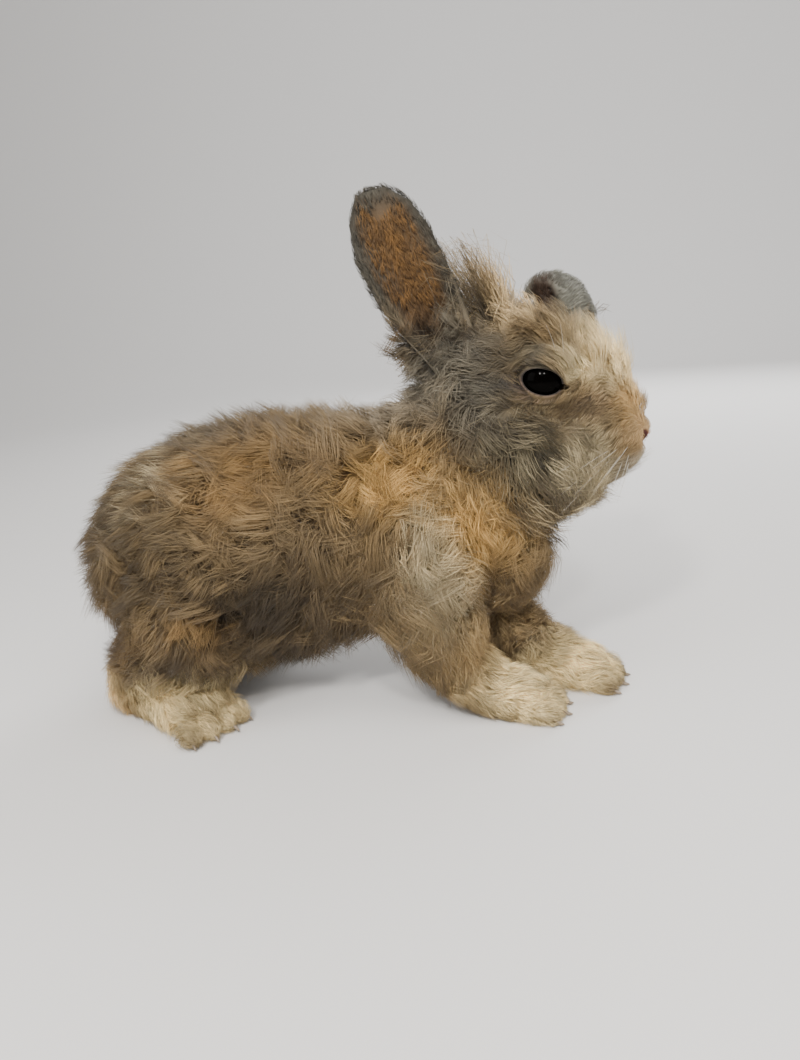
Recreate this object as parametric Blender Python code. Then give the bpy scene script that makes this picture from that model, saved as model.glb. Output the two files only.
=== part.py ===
"""A life-size still model of a young lop rabbit with a woolly coat, standing on all four feet.

The nose points along +X, the rabbit's left side is +Y, and the soles rest on the floor at Z = 0.
Its right ear stands up, and its left ear falls forward over the brow.
Every size below is in millimetres and is turned into metres as it is used.
"""

import math
import random

import bmesh
import bpy
import numpy as np
from mathutils import Matrix, Vector
from mathutils.bvhtree import BVHTree

MM = 0.001
GAP = 0.3
SEED = 11

# The middle of the finished rabbit's bounding box, which becomes the origin.
BOX_CENTRE_X = -11.54
BOX_CENTRE_Y = -0.10

# How far the coat stands out from the skin, and the share of that taken by the solid core.
BODY_COAT = 12.0
NECK_COAT = 12.0
CROWN_COAT = 6.0
FACE_COAT = 2.0
LEG_COAT = 6.0
FOOT_COAT = 3.0
TAIL_COAT = 9.0
CORE_SHARE = 0.45

# The skin of the torso: place along X, lowest and highest Z, half width.
TORSO_RINGS = (
    (-103.0, 44.0, 66.0, 13.0),
    (-97.0, 32.0, 82.0, 25.0),
    (-84.0, 25.0, 95.0, 34.0),
    (-62.0, 22.0, 102.0, 38.0),
    (-34.0, 25.0, 105.0, 37.0),
    (-6.0, 31.0, 104.0, 33.0),
    (18.0, 35.0, 102.0, 29.0),
    (38.0, 42.0, 104.0, 25.0),
    (54.0, 58.0, 104.0, 18.0),
)
TORSO_WIDEST = 0.45

# The skin of the head: place along X, lowest and highest Z, half width.
HEAD_RINGS = (
    (36.0, 96.0, 120.0, 12.0),
    (44.0, 86.0, 127.0, 17.5),
    (56.0, 79.0, 131.5, 20.5),
    (68.0, 76.5, 132.5, 20.5),
    (79.0, 76.5, 130.5, 17.5),
    (88.0, 78.5, 126.0, 14.0),
    (96.0, 82.5, 117.5, 10.8),
    (101.0, 86.5, 109.5, 8.2),
    (104.0, 90.0, 102.0, 5.4),
)
HEAD_WIDEST = 0.42

EYE_CENTRE = (70.5, 15.6, 119.2)
EYE_RADIUS = 8.0
EYE_OPENING = (6.3, 9.0, 4.6)
EYE_SLANT = 18.0
LID_THICK = 1.3
EYE_SLACK = 0.25

# Centre lines of the limbs: point, half width across, half depth.
FORELEG_RIGHT = (
    ((24.0, -24.0, 66.0), 12.0, 17.0),
    ((24.0, -26.0, 44.0), 11.0, 15.0),
    ((31.0, -26.5, 26.0), 8.5, 11.0),
    ((41.0, -26.5, 13.5), 7.5, 7.5),
    ((50.0, -27.0, 8.0), 8.0, 6.0),
    ((60.0, -27.5, 6.0), 8.5, 5.0),
)
FORELEG_LEFT = (
    ((30.0, 20.0, 66.0), 12.0, 17.0),
    ((34.0, 17.0, 46.0), 11.0, 15.0),
    ((46.0, 8.0, 28.0), 8.5, 10.0),
    ((62.0, 0.5, 14.0), 7.5, 7.5),
    ((73.0, -2.5, 8.0), 8.0, 6.0),
    ((82.0, -3.5, 6.0), 8.5, 5.0),
)
HINDLEG_RIGHT = (
    ((-78.0, -24.0, 66.0), 14.0, 24.0),
    ((-62.0, -32.0, 48.0), 14.0, 22.0),
    ((-72.0, -33.0, 34.0), 11.0, 15.0),
    ((-88.0, -27.0, 22.0), 9.0, 11.0),
    ((-101.0, -20.0, 12.0), 8.5, 9.0),
)
HINDLEG_LEFT = (
    ((-78.0, 24.0, 66.0), 14.0, 24.0),
    ((-60.0, 32.0, 48.0), 14.0, 22.0),
    ((-70.0, 33.0, 34.0), 11.0, 15.0),
    ((-86.0, 29.0, 22.0), 9.0, 11.0),
    ((-98.0, 24.0, 12.0), 8.5, 9.0),
)
HINDFOOT_RIGHT = (
    ((-103.0, -17.5, 9.5), 7.0, 9.0),
    ((-90.0, -25.0, 9.0), 7.5, 8.5),
    ((-75.0, -34.0, 8.5), 9.0, 8.0),
    ((-64.0, -40.5, 8.0), 10.0, 7.5),
)
HINDFOOT_LEFT = (
    ((-100.0, 23.0, 8.5), 7.5, 8.0),
    ((-86.0, 28.5, 8.0), 8.0, 7.5),
    ((-67.0, 35.5, 8.0), 10.0, 7.5),
    ((-54.0, 40.0, 7.0), 11.5, 7.0),
)
TAIL_LINE = (
    ((-98.0, 2.0, 60.0), 8.0, 8.0),
    ((-108.0, 2.5, 57.0), 7.5, 8.5),
    ((-114.0, 3.0, 52.0), 5.5, 7.0),
)
TOE_COUNT = 4
TOE_LENGTH = 9.0

# Each ear: a line along the middle of its mouth, the way the cup faces, its half width, its depth
# and how far round it curls, in radians each way.
EAR_RIGHT = (
    ((42.0, -12.0, 127.0), (0.55, -0.85, 0.1), 9.0, 8.0, 1.7),
    ((36.5, -14.5, 140.0), (0.45, -0.9, 0.1), 11.5, 9.0, 1.5),
    ((31.0, -17.5, 152.0), (0.35, -0.93, 0.1), 13.5, 7.5, 1.3),
    ((26.0, -20.0, 164.0), (0.25, -0.95, 0.1), 13.5, 6.0, 1.2),
    ((22.0, -22.0, 175.0), (0.2, -0.97, 0.1), 12.0, 4.0, 1.2),
    ((19.6, -23.0, 182.5), (0.2, -0.97, 0.1), 8.0, 2.0, 1.2),
    ((18.4, -23.4, 186.5), (0.2, -0.97, 0.1), 3.0, 0.8, 1.2),
)
EAR_LEFT = (
    ((64.0, 10.0, 122.0), (-0.8, -0.6, 0.1), 7.0, 11.0, 2.0),
    ((69.5, 10.0, 131.0), (-0.8, -0.6, 0.0), 7.5, 14.0, 2.0),
    ((73.5, 12.0, 139.5), (-0.75, -0.5, -0.4), 8.0, 14.0, 1.9),
    ((77.0, 20.0, 143.5), (-0.5, -0.35, -0.8), 10.0, 9.5, 1.5),
    ((79.0, 29.0, 139.0), (-0.3, -0.9, -0.3), 11.5, 6.0, 1.3),
    ((79.5, 34.5, 128.0), (-0.3, -0.95, 0.1), 11.0, 5.0, 1.2),
    ((80.0, 36.5, 116.0), (-0.3, -0.95, 0.1), 7.5, 2.5, 1.2),
    ((80.3, 37.5, 109.0), (-0.3, -0.95, 0.1), 2.5, 0.8, 1.2),
)
# The outlines in X and Z of the blocks that part the head and the neck from what is behind them.
HEAD_CUT = ((25, 145), (35, 121), (48, 94), (57, 76), (63, 70), (135, 66), (135, 210), (25, 210))
NECK_CUT = ((6, 140), (28, 92), (43, 62), (54, 53), (110, 53), (110, 210), (6, 210))
# The outline in Y and Z of the block that parts the folded ear from the head.
FOLDED_EAR_CUT = ((0, 137), (16, 134), (27, 130), (29.5, 100), (55, 100), (55, 165), (0, 165))
EAR_THICK = 2.6
EAR_ROWS = 13
EAR_COLUMNS = 8
SLEEVE = 2.5

# Each kind of lock: length, width and how far its tip stands over the core.
BODY_LOCK = (24.0, 11.0, 7.2)
BELLY_LOCK = (18.0, 10.0, 6.0)
NECK_LOCK = (20.0, 9.0, 6.8)
CHEEK_LOCK = (18.0, 8.0, 4.5)
CROWN_LOCK = (13.0, 7.0, 3.6)
LEG_LOCK = (14.0, 8.0, 3.8)
LOCK_APART = 0.45
CUT_CLEAR = 0.4
LOCK_SUNK = 2.0
LOCK_THICK = 3.4
LOCK_TRIES = 5000
FORELOCK_COUNT = 12

BODY_VOXEL = 1.5
BODY_SMOOTHING = 8
BODY_TRIANGLES = 3600
EAR_VOXEL = 0.6
EAR_SMOOTHING = 3
EAR_TRIANGLES = 480


def vec(point):
    """A point in millimetres as a vector in metres."""
    return Vector(point) * MM


def clear_scene():
    for obj in list(bpy.data.objects):
        bpy.data.objects.remove(obj, do_unlink=True)


def material(name, colour, roughness):
    mat = bpy.data.materials.new(name)
    mat.use_nodes = True
    shader = mat.node_tree.nodes["Principled BSDF"]
    shader.inputs["Base Color"].default_value = (*colour, 1.0)
    shader.inputs["Roughness"].default_value = roughness
    shader.inputs["Metallic"].default_value = 0.0
    return mat


def mesh_object(name, points, faces):
    """A closed mesh object from points in metres, its faces turned outwards."""
    mesh = bpy.data.meshes.new(name)
    mesh.from_pydata([tuple(p) for p in points], [], faces)
    shape = bmesh.new()
    shape.from_mesh(mesh)
    bmesh.ops.recalc_face_normals(shape, faces=shape.faces)
    shape.to_mesh(mesh)
    shape.free()
    obj = bpy.data.objects.new(name, mesh)
    bpy.context.scene.collection.objects.link(obj)
    return obj


def ball(name, centre, radii, turn=(0.0, 0.0, 0.0), segments=24):
    """An ellipsoid with half axes in millimetres, turned by Euler angles in degrees."""
    shape = bmesh.new()
    bmesh.ops.create_uvsphere(shape, u_segments=segments, v_segments=segments // 2, radius=1.0)
    mesh = bpy.data.meshes.new(name)
    shape.to_mesh(mesh)
    shape.free()
    obj = bpy.data.objects.new(name, mesh)
    bpy.context.scene.collection.objects.link(obj)
    obj.scale = vec(radii)
    obj.rotation_euler = [math.radians(a) for a in turn]
    obj.location = vec(centre)
    bake_place(obj)
    return obj


def bake_place(obj):
    """Moves an object's place, turn and scale into its mesh."""
    bpy.context.view_layer.update()
    obj.data.transform(obj.matrix_world)
    obj.matrix_world.identity()


def loft(name, rings):
    """A closed tube through rings of equal length, its ends closed by a middle point."""
    count = len(rings[0])
    points = [p for ring in rings for p in ring]
    faces = []
    for r in range(len(rings) - 1):
        for k in range(count):
            a, b = r * count + k, r * count + (k + 1) % count
            faces.append((a, b, b + count, a + count))
    for start, ring in ((0, rings[0]), ((len(rings) - 1) * count, rings[-1])):
        middle = len(points)
        points.append(sum(ring, Vector()) / count)
        faces += [(start + k, start + (k + 1) % count, middle) for k in range(count)]
    return mesh_object(name, points, faces)


def spline(rows, share):
    """The value at a share of the way along rows of numbers, on a smooth curve through them all."""
    rows = np.array(rows, float)
    place = min(share, 1.0) * (len(rows) - 1)
    i = min(int(place), len(rows) - 2)
    t = place - i
    before, a, b, after = (rows[min(max(i + k, 0), len(rows) - 1)] for k in (-1, 0, 1, 2))
    return 0.5 * (
        2 * a + (b - before) * t
        + (2 * before - 5 * a + 4 * b - after) * t**2
        + (3 * a - before - 3 * b + after) * t**3
    )


def upright_ring(x, low, high, half_width, widest, sides=32):
    """An egg-shaped ring in an upright plane across the body, widest at that share of its height."""
    middle = low + widest * (high - low)
    ring = []
    for k in range(sides):
        angle = 2 * math.pi * k / sides
        reach = high - middle if math.sin(angle) > 0 else middle - low
        ring.append(vec((x, half_width * math.cos(angle), middle + reach * math.sin(angle))))
    return ring


def upright_loft(name, stations, widest, coat, count=26):
    """A body or head form through its stations, grown by the coat's solid depth."""
    rings = []
    for k in range(count):
        x, low, high, half = spline(stations, k / (count - 1))
        rings.append(upright_ring(x, low - coat, high + coat, half + coat, widest))
    for end, inner in ((0, 1), (-1, -2)):
        middle = sum(rings[end], Vector()) / len(rings[end])
        outwards = (middle - sum(rings[inner], Vector()) / len(rings[inner])).normalized()
        cap = [middle + (p - middle) * 0.6 + outwards * coat * 0.85 * MM for p in rings[end]]
        rings = [cap] + rings if end == 0 else rings + [cap]
    return loft(name, rings)


def limb(name, joints, coat, count=16, sides=20):
    """A rounded limb along its joints, each a point, half width across and half depth."""
    rows = [(*point, across, deep) for point, across, deep in joints]
    stations = [spline(rows, k / (count - 1)) for k in range(count)]
    rings = []
    for k, row in enumerate(stations):
        ahead = Vector(stations[min(k + 1, count - 1)][:3]) - Vector(stations[max(k - 1, 0)][:3])
        ahead.normalize()
        across = Vector((0, 0, 1)).cross(ahead)
        across = across.normalized() if across.length > 0.3 else Vector((0, 1, 0))
        deep = ahead.cross(across)
        half, depth = row[3] + coat, row[4] + coat
        rings.append((Vector(row[:3]), ahead, across * half, deep * depth))
    first, last = rings[0], rings[-1]
    reach = {0: first[3].length * 0.8, 1: last[3].length * 0.8}
    capped = []
    for end, (centre, ahead, across, deep) in ((0, first), (1, last)):
        sign = -1 if end == 0 else 1
        caps = []
        for share in (0.5, 0.85):
            rise = math.sin(share * math.pi / 2)
            narrow = math.cos(share * math.pi / 2)
            centre_cap = centre + ahead * sign * reach[end] * rise
            caps.append((centre_cap, ahead, across * narrow, deep * narrow))
        capped.append(caps if end else caps[::-1])
    loops = []
    for centre, _, across, deep in capped[0] + rings + capped[1]:
        turns = (2 * math.pi * k / sides for k in range(sides))
        loops.append([(centre + across * math.cos(a) + deep * math.sin(a)) * MM for a in turns])
    return loft(name, loops)


def ear_frame(stations, share):
    """The place, side and facing directions, half width, depth and curl of an ear at a share of its length."""
    rows = [(*point, *face, half, depth, arc) for point, face, half, depth, arc in stations]
    row = spline(rows, share)
    after = spline(rows, min(1.0, share + 0.03))
    before = spline(rows, max(0.0, share - 0.03))
    along = Vector(after[:3] - before[:3]).normalized()
    face = Vector(row[3:6])
    face = (face - along * face.dot(along)).normalized()
    return Vector(row[:3]), along, along.cross(face), face, *row[6:9]


def ear(name, stations):
    """A cupped sheet along its stations: an outer and an inner skin joined at the rim."""
    outer, inner = [], []
    for i in range(EAR_ROWS):
        place, _, side, face, half, depth, arc = ear_frame(stations, i / (EAR_ROWS - 1))
        thick = EAR_THICK * min(1.0, 0.45 + half / 12.0)
        for j in range(EAR_COLUMNS + 1):
            angle = arc * (2 * j / EAR_COLUMNS - 1)
            across = half * math.sin(angle) / math.sin(min(arc, math.pi / 2))
            back = depth * (math.cos(angle) - math.cos(arc)) / (1 - math.cos(arc))
            point = place + side * across - face * back
            away = side * math.sin(angle) - face * math.cos(angle)
            rim = 1.0 - 0.45 * abs(2 * j / EAR_COLUMNS - 1) ** 3
            outer.append((point + away * thick * rim / 2) * MM)
            inner.append((point - away * thick * rim / 2) * MM)
    width = EAR_COLUMNS + 1
    size = len(outer)
    faces = []
    for i in range(EAR_ROWS - 1):
        for j in range(EAR_COLUMNS):
            a = i * width + j
            corners = (a, a + 1, a + 1 + width, a + width)
            for tri in ((0, 1, 2), (0, 2, 3)):
                faces.append(tuple(corners[t] for t in tri))
                faces.append(tuple(corners[t] + size for t in reversed(tri)))
    rim = [i * width for i in range(EAR_ROWS)]
    rim += [(EAR_ROWS - 1) * width + j for j in range(1, width)]
    rim += [i * width + EAR_COLUMNS for i in range(EAR_ROWS - 2, -1, -1)]
    rim += [j for j in range(EAR_COLUMNS - 1, 0, -1)]
    for k, a in enumerate(rim):
        b = rim[(k + 1) % len(rim)]
        faces += [(a, b, b + size), (a, b + size, a + size)]
    return mesh_object(name, outer + inner, faces)


def rounded_square(angle):
    """A point on a square with well rounded corners, two units across."""
    across, deep = math.cos(angle), math.sin(angle)
    return math.copysign(abs(across) ** 0.5, across), math.copysign(abs(deep) ** 0.5, deep)


def ear_sleeve(stations, start, grow, rows=7, sides=8):
    """A closed tube that holds an ear from a share of its length to past its tip."""
    rings = []
    for i in range(rows):
        share = start + (1 - start) * i / (rows - 1)
        place, along, side, face, half, depth, _ = ear_frame(stations, share)
        centre = place - face * depth / 2
        if i == 0:
            centre -= along * grow
        if i == rows - 1:
            centre += along * (SLEEVE + grow)
        across, deep = side * (half + SLEEVE + grow), face * (depth / 2 + SLEEVE + grow)
        corners = [rounded_square(2 * math.pi * (k + 0.5) / sides) for k in range(sides)]
        rings.append([(centre + across * a + deep * d) * MM for a, d in corners])
    return loft("sleeve", rings)


def apply_modifiers(obj):
    """Leaves the object with the mesh that its modifiers make."""
    bpy.context.view_layer.update()
    graph = bpy.context.evaluated_depsgraph_get()
    mesh = bpy.data.meshes.new_from_object(obj.evaluated_get(graph))
    obj.modifiers.clear()
    old = obj.data
    obj.data = mesh
    bpy.data.meshes.remove(old)


def joined(name, pieces):
    """Several overlapping closed meshes as one object, not yet fused."""
    shape = bmesh.new()
    for piece in pieces:
        shape.from_mesh(piece.data)
    mesh = bpy.data.meshes.new(name)
    shape.to_mesh(mesh)
    shape.free()
    for piece in pieces:
        bpy.data.objects.remove(piece, do_unlink=True)
    obj = bpy.data.objects.new(name, mesh)
    bpy.context.scene.collection.objects.link(obj)
    return obj


def fused(obj, voxel, smoothing, triangles):
    """Makes one smooth closed body of overlapping forms, in few triangles, finest on the face and feet."""
    remesh = obj.modifiers.new("fuse", "REMESH")
    remesh.mode = "VOXEL"
    remesh.voxel_size = voxel * MM
    smooth = obj.modifiers.new("smooth", "SMOOTH")
    smooth.factor = 0.5
    smooth.iterations = smoothing
    apply_modifiers(obj)
    coarse = obj.vertex_groups.new(name="coarse")
    for vertex in obj.data.vertices:
        coarse.add([vertex.index], coarseness(vertex.co / MM), "REPLACE")
    faces = sum(len(p.vertices) - 2 for p in obj.data.polygons)
    thin = obj.modifiers.new("thin", "DECIMATE")
    thin.ratio = triangles / faces
    thin.vertex_group = coarse.name
    apply_modifiers(obj)
    return obj


def coarseness(point):
    """How far the mesh may be thinned at a place: least on the face and the feet."""
    if point.x > 60 and point.z > 74:
        return 0.3
    if point.z < 16:
        return 0.6
    return 1.0


def boolean(obj, operation, other, solver="EXACT"):
    """Applies one Boolean with another object, or with a collection of them, and removes them."""
    cut = obj.modifiers.new("cut", "BOOLEAN")
    cut.operation = operation
    cut.solver = solver
    if isinstance(other, bpy.types.Collection):
        cut.operand_type = "COLLECTION"
        cut.collection = other
    else:
        cut.object = other
    apply_modifiers(obj)
    if isinstance(other, bpy.types.Collection):
        for piece in list(other.objects):
            bpy.data.objects.remove(piece, do_unlink=True)
        bpy.data.collections.remove(other)
    else:
        bpy.data.objects.remove(other, do_unlink=True)


def copy_of(obj, name):
    twin = bpy.data.objects.new(name, obj.data.copy())
    bpy.context.scene.collection.objects.link(twin)
    return twin


def keep_largest(obj):
    """Drops loose scraps, so that the node is one closed surface."""
    shape = bmesh.new()
    shape.from_mesh(obj.data)
    left = set(shape.faces)
    shells = []
    while left:
        queue = [left.pop()]
        shell = set(queue)
        while queue:
            for edge in queue.pop().edges:
                for face in edge.link_faces:
                    if face in left:
                        left.discard(face)
                        shell.add(face)
                        queue.append(face)
        shells.append(shell)
    largest = max(shells, key=lambda s: sum(f.calc_area() for f in s))
    loose = [f for s in shells if s is not largest for f in s]
    bmesh.ops.delete(shape, geom=loose, context="FACES")
    shape.to_mesh(obj.data)
    shape.free()


def part_off(rest, name, region):
    """Takes a node out of the body with a thin cut: what lies in the region becomes the node.

    region(grow) makes the closed region, grown outwards by that many millimetres.
    """
    node = copy_of(rest, name)
    boolean(node, "INTERSECT", region(0.0), "MANIFOLD")
    keep_largest(node)
    boolean(rest, "DIFFERENCE", region(GAP), "MANIFOLD")
    return node


def slab(name, centre, half, turn, grow):
    """A box with half sizes in millimetres, turned about its centre, grown on every side."""
    shape = bmesh.new()
    bmesh.ops.create_cube(shape, size=2.0)
    mesh = bpy.data.meshes.new(name)
    shape.to_mesh(mesh)
    shape.free()
    obj = bpy.data.objects.new(name, mesh)
    bpy.context.scene.collection.objects.link(obj)
    obj.scale = [(h + grow) * MM for h in half]
    obj.rotation_euler = [math.radians(a) for a in turn]
    obj.location = vec(centre)
    bake_place(obj)
    return obj


def outset(outline, grow):
    """An outline with its points in turn, every side moved outwards by that distance."""
    count = len(outline)
    area = sum(outline[k - 1][0] * p[1] - p[0] * outline[k - 1][1] for k, p in enumerate(outline))
    moved = []
    for k, (x, y) in enumerate(outline):
        before = Vector((x, y)) - Vector(outline[k - 1])
        after = Vector(outline[(k + 1) % count]) - Vector((x, y))
        normals = [Vector((v.y, -v.x)).normalized() * math.copysign(1, area) for v in (before, after)]
        corner = (normals[0] + normals[1]).normalized()
        moved.append(Vector((x, y)) + corner * grow / corner.dot(normals[0]))
    return moved


def block(name, outline, low, high, grow, across="y"):
    """A closed block that runs straight across between two planes, with an outline seen end on.

    The outline is in X and Z where the block runs along Y, and in Y and Z where it runs along X.
    """
    rings = []
    for place in (low - grow, high + grow):
        points = outset(outline, grow)
        rings.append([vec((u, place, v) if across == "y" else (place, u, v)) for u, v in points])
    count = len(outline)
    faces = [tuple(range(count)), tuple(range(2 * count - 1, count - 1, -1))]
    faces += [(k, (k + 1) % count, (k + 1) % count + count, k + count) for k in range(count)]
    return mesh_object(name, rings[0] + rings[1], faces)


def drum(name, centre, radius, half_length, axis, grow, sides=40):
    """A cylinder along an axis, grown on every side."""
    shape = bmesh.new()
    bmesh.ops.create_cone(
        shape,
        cap_ends=True,
        segments=sides,
        radius1=(radius + grow) * MM,
        radius2=(radius + grow) * MM,
        depth=2 * (half_length + grow) * MM,
    )
    mesh = bpy.data.meshes.new(name)
    shape.to_mesh(mesh)
    shape.free()
    obj = bpy.data.objects.new(name, mesh)
    bpy.context.scene.collection.objects.link(obj)
    obj.rotation_mode = "QUATERNION"
    obj.rotation_quaternion = Vector((0, 0, 1)).rotation_difference(Vector(axis).normalized())
    obj.location = vec(centre)
    bake_place(obj)
    return obj


def foot_toes(name, joints, coat, heading_turn=0.0):
    """Rounded toes in a fan at the end of a foot."""
    (before, _, _), (end, half, depth) = joints[-2], joints[-1]
    heading = math.atan2(end[1] - before[1], end[0] - before[0]) + heading_turn
    toes = []
    for k in range(TOE_COUNT):
        share = 2 * k / (TOE_COUNT - 1) - 1
        angle = heading + share * 0.28
        across = (-math.sin(heading) * share * half * 0.72, math.cos(heading) * share * half * 0.72)
        reach = TOE_LENGTH * (1 - 0.18 * share * share)
        start = (end[0] + across[0], end[1] + across[1], depth * 0.72)
        tip = (
            start[0] + math.cos(angle) * reach,
            start[1] + math.sin(angle) * reach,
            depth * 0.55,
        )
        size = half * 0.30
        toes.append(
            limb(f"{name}_toe_{k}", ((start, size, size * 1.1), (tip, size * 0.85, size * 0.9)), coat, 5, 12)
        )
    return toes


def body_forms(share):
    """The overlapping forms of the whole rabbit but its ears and eyes, with that share of its coat."""
    body, neck, leg = BODY_COAT * share, NECK_COAT * share, LEG_COAT * share
    forms = [
        upright_loft("torso_form", TORSO_RINGS, TORSO_WIDEST, body),
        upright_loft("head_form", HEAD_RINGS, HEAD_WIDEST, FACE_COAT),
        limb("neck_form", (((22, 0, 82), 22, 24), ((40, 0, 94), 19, 22), ((56, 0, 102), 17, 20)), neck * 0.75),
        ball("crown_form", (58, 0, 128), (22, 17, 10 + CROWN_COAT * share)),
        ball("chest_form", (50, 0, 58), (14 + neck * 0.6, 18 + neck * 0.6, 20 + neck * 0.4)),
    ]
    for side in (-1, 1):
        forms += [
            ball(f"cheek_form_{side}", (67, side * 12, 90), (20, 12 + 6 * share, 17), (0, -25, 0)),
            ball(f"lip_form_{side}", (97, side * 4.5, 90), (6.3, 6.0, 6.0)),
            ball(f"orbit_form_{side}", (70, side * 13.5, 118.5), (13, 9, 10.5)),
        ]
    forms.append(ball("chin_form", (93.5, 0, 82.5), (8.0, 7.0, 4.5)))
    for name, joints in (("fore_right", FORELEG_RIGHT), ("fore_left", FORELEG_LEFT)):
        forms.append(limb(name, joints[:4], leg))
        forms.append(limb(name + "_paw", joints[3:], FOOT_COAT, 8))
        forms += foot_toes(name, joints, FOOT_COAT * 0.5)
    for name, joints in (("hind_right", HINDLEG_RIGHT), ("hind_left", HINDLEG_LEFT)):
        forms.append(limb(name, joints, leg))
    for name, joints in (("foot_right", HINDFOOT_RIGHT), ("foot_left", HINDFOOT_LEFT)):
        forms.append(limb(name, joints, FOOT_COAT))
        forms += foot_toes(name, joints, FOOT_COAT * 0.6)
    forms.append(limb("tail_form", TAIL_LINE, TAIL_COAT * share))
    return forms


def lock(name, path, normals, width):
    """A flat tapered lock along four points, with four sides and one sharp tip."""
    shares = ((0.75, 1.0), (1.0, 0.9), (0.62, 0.65))
    points, faces = [], []
    for k, (wide, thick) in enumerate(shares):
        along = (path[k + 1] - path[k]).normalized()
        side = along.cross(normals[k]).normalized() * width / 2 * wide
        up = side.cross(along).normalized() * LOCK_THICK / 2 * thick
        points += [(path[k] + v) * MM for v in (side, up, -side, -up)]
    points.append(path[3] * MM)
    for k in range(2):
        a = 4 * k
        faces += [(a + j, a + (j + 1) % 4, a + (j + 1) % 4 + 4, a + j + 4) for j in range(4)]
    faces.append((0, 1, 2, 3))
    faces += [(8 + j, 8 + (j + 1) % 4, 12) for j in range(4)]
    return mesh_object(name, points, faces)


def lock_kind(point, normal):
    """The kind of lock that grows at a place on the core, and the way it lies, or nothing."""
    x, y, z = point
    eye = Vector((EYE_CENTRE[0], math.copysign(EYE_CENTRE[1], y), EYE_CENTRE[2]))
    if (point - eye).length < 17 or (x > 84 and z > 74) or z < 21:
        return None
    if x > 46 and z > 112:
        return (CROWN_LOCK, Vector((-1.0, 0.0, 0.5))) if normal.z > 0.2 or x < 58 else None
    if x > 52 and z > 68 and abs(y) > 7:
        return CHEEK_LOCK, Vector((-0.25, 0.0, -1.0))
    if x > 26 and z > 36:
        return NECK_LOCK, Vector((-0.35, 0.0, -1.0))
    if z < 38 and abs(y) > 8 and (x > 12 or x < -44) and normal.z > -0.6:
        return LEG_LOCK, Vector((-0.5, 0.0, -1.0))
    if normal.z < -0.55:
        return (BELLY_LOCK, Vector((-1.0, 0.0, -0.2))) if abs(y) > 14 else None
    return BODY_LOCK, Vector((-0.9, 0.0, -0.55))


def coat_locks(core):
    """Locks over the whole core, evenly spread, each lying along it, clear of the others and of the cuts."""
    draw = random.Random(SEED)
    tree = BVHTree.FromObject(core, bpy.context.evaluated_depsgraph_get())
    cuts = cut_surfaces()
    polygons = core.data.polygons
    weights = [p.area for p in polygons]
    taken, locks = [], []
    for polygon in draw.choices(polygons, weights, k=LOCK_TRIES):
        corners = [core.data.vertices[v].co / MM for v in polygon.vertices[:3]]
        a, b = sorted((draw.random(), draw.random()))
        root = corners[0] * a + corners[1] * (b - a) + corners[2] * (1 - b)
        normal = polygon.normal.copy()
        kind = lock_kind(root, normal)
        if not kind:
            continue
        (length, width, rise), lie = kind
        path, normals = lock_path(tree, root, normal, lie, length, rise, draw)
        if path[3].z < 2.0 or (path[3] - path[0]).length < length * 0.55:
            continue
        if not is_clear(path, width, taken, cuts):
            continue
        taken += [(place, width) for place in path]
        locks.append(lock("lock", path, normals, width))
    return locks


def cut_surfaces():
    """The surfaces along which the nodes are parted."""
    trees = []
    for _, region in REGIONS:
        cutter = region(0.0)
        places = [v.co for v in cutter.data.vertices]
        trees.append(BVHTree.FromPolygons(places, [p.vertices[:] for p in cutter.data.polygons]))
        bpy.data.objects.remove(cutter, do_unlink=True)
    return trees


def is_clear(path, width, taken, cuts):
    """Whether a lock along this path would touch no other lock and no cut."""
    for place in path:
        if any((place - other).length < (width + wide) * LOCK_APART for other, wide in taken):
            return False
        for cut in cuts:
            _, _, _, gap = cut.find_nearest(place * MM)
            if gap / MM < width * CUT_CLEAR:
                return False
    return True


def lock_path(tree, root, normal, lie, length, rise, draw):
    """Four places along the surface from a root, sunk in the core, to a raised tip, and the way out at each."""
    length *= draw.uniform(0.85, 1.15)
    turn = Matrix.Rotation(math.radians(draw.uniform(-22, 22)), 3, normal)
    lie = turn @ (lie - normal * lie.dot(normal)).normalized()
    path, normals = [], []
    for share, height in ((0.0, -LOCK_SUNK), (0.36, rise * 0.42), (0.7, rise * 0.78), (1.0, rise)):
        near, facing, _, _ = tree.find_nearest((root + lie * length * share) * MM)
        path.append(near / MM + facing * height)
        normals.append(facing)
    return path, normals


def forelock():
    """The tuft of long locks that stands up between the ears and leans back."""
    draw = random.Random(SEED + 1)
    locks = []
    for k in range(FORELOCK_COUNT):
        root = Vector((draw.uniform(50, 66), draw.uniform(-9, 7), 128.0))
        tip = Vector((root.x - 4 + draw.uniform(-7, 6), root.y * 1.5 + draw.uniform(-3, 3), 0))
        tip.z = draw.uniform(150, 164) - abs(root.x - 58) * 0.9
        middle = [root.lerp(tip, share) for share in (0.4, 0.72)]
        middle[0] += Vector((2.0, 0, 0))
        middle[1] += Vector((2.5, draw.uniform(-1, 1), 0))
        facing = Vector((draw.uniform(-0.4, 0.4), -1, 0)).normalized()
        locks.append(lock(f"forelock_{k}", [root, *middle, tip], [facing] * 3, draw.uniform(6, 9)))
    return locks


def grow_coat(whole, locks):
    """Fuses every lock to the core in one union."""
    coat = bpy.data.collections.new("coat")
    for piece in locks:
        coat.objects.link(piece)
    boolean(whole, "UNION", coat, "MANIFOLD")


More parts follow.
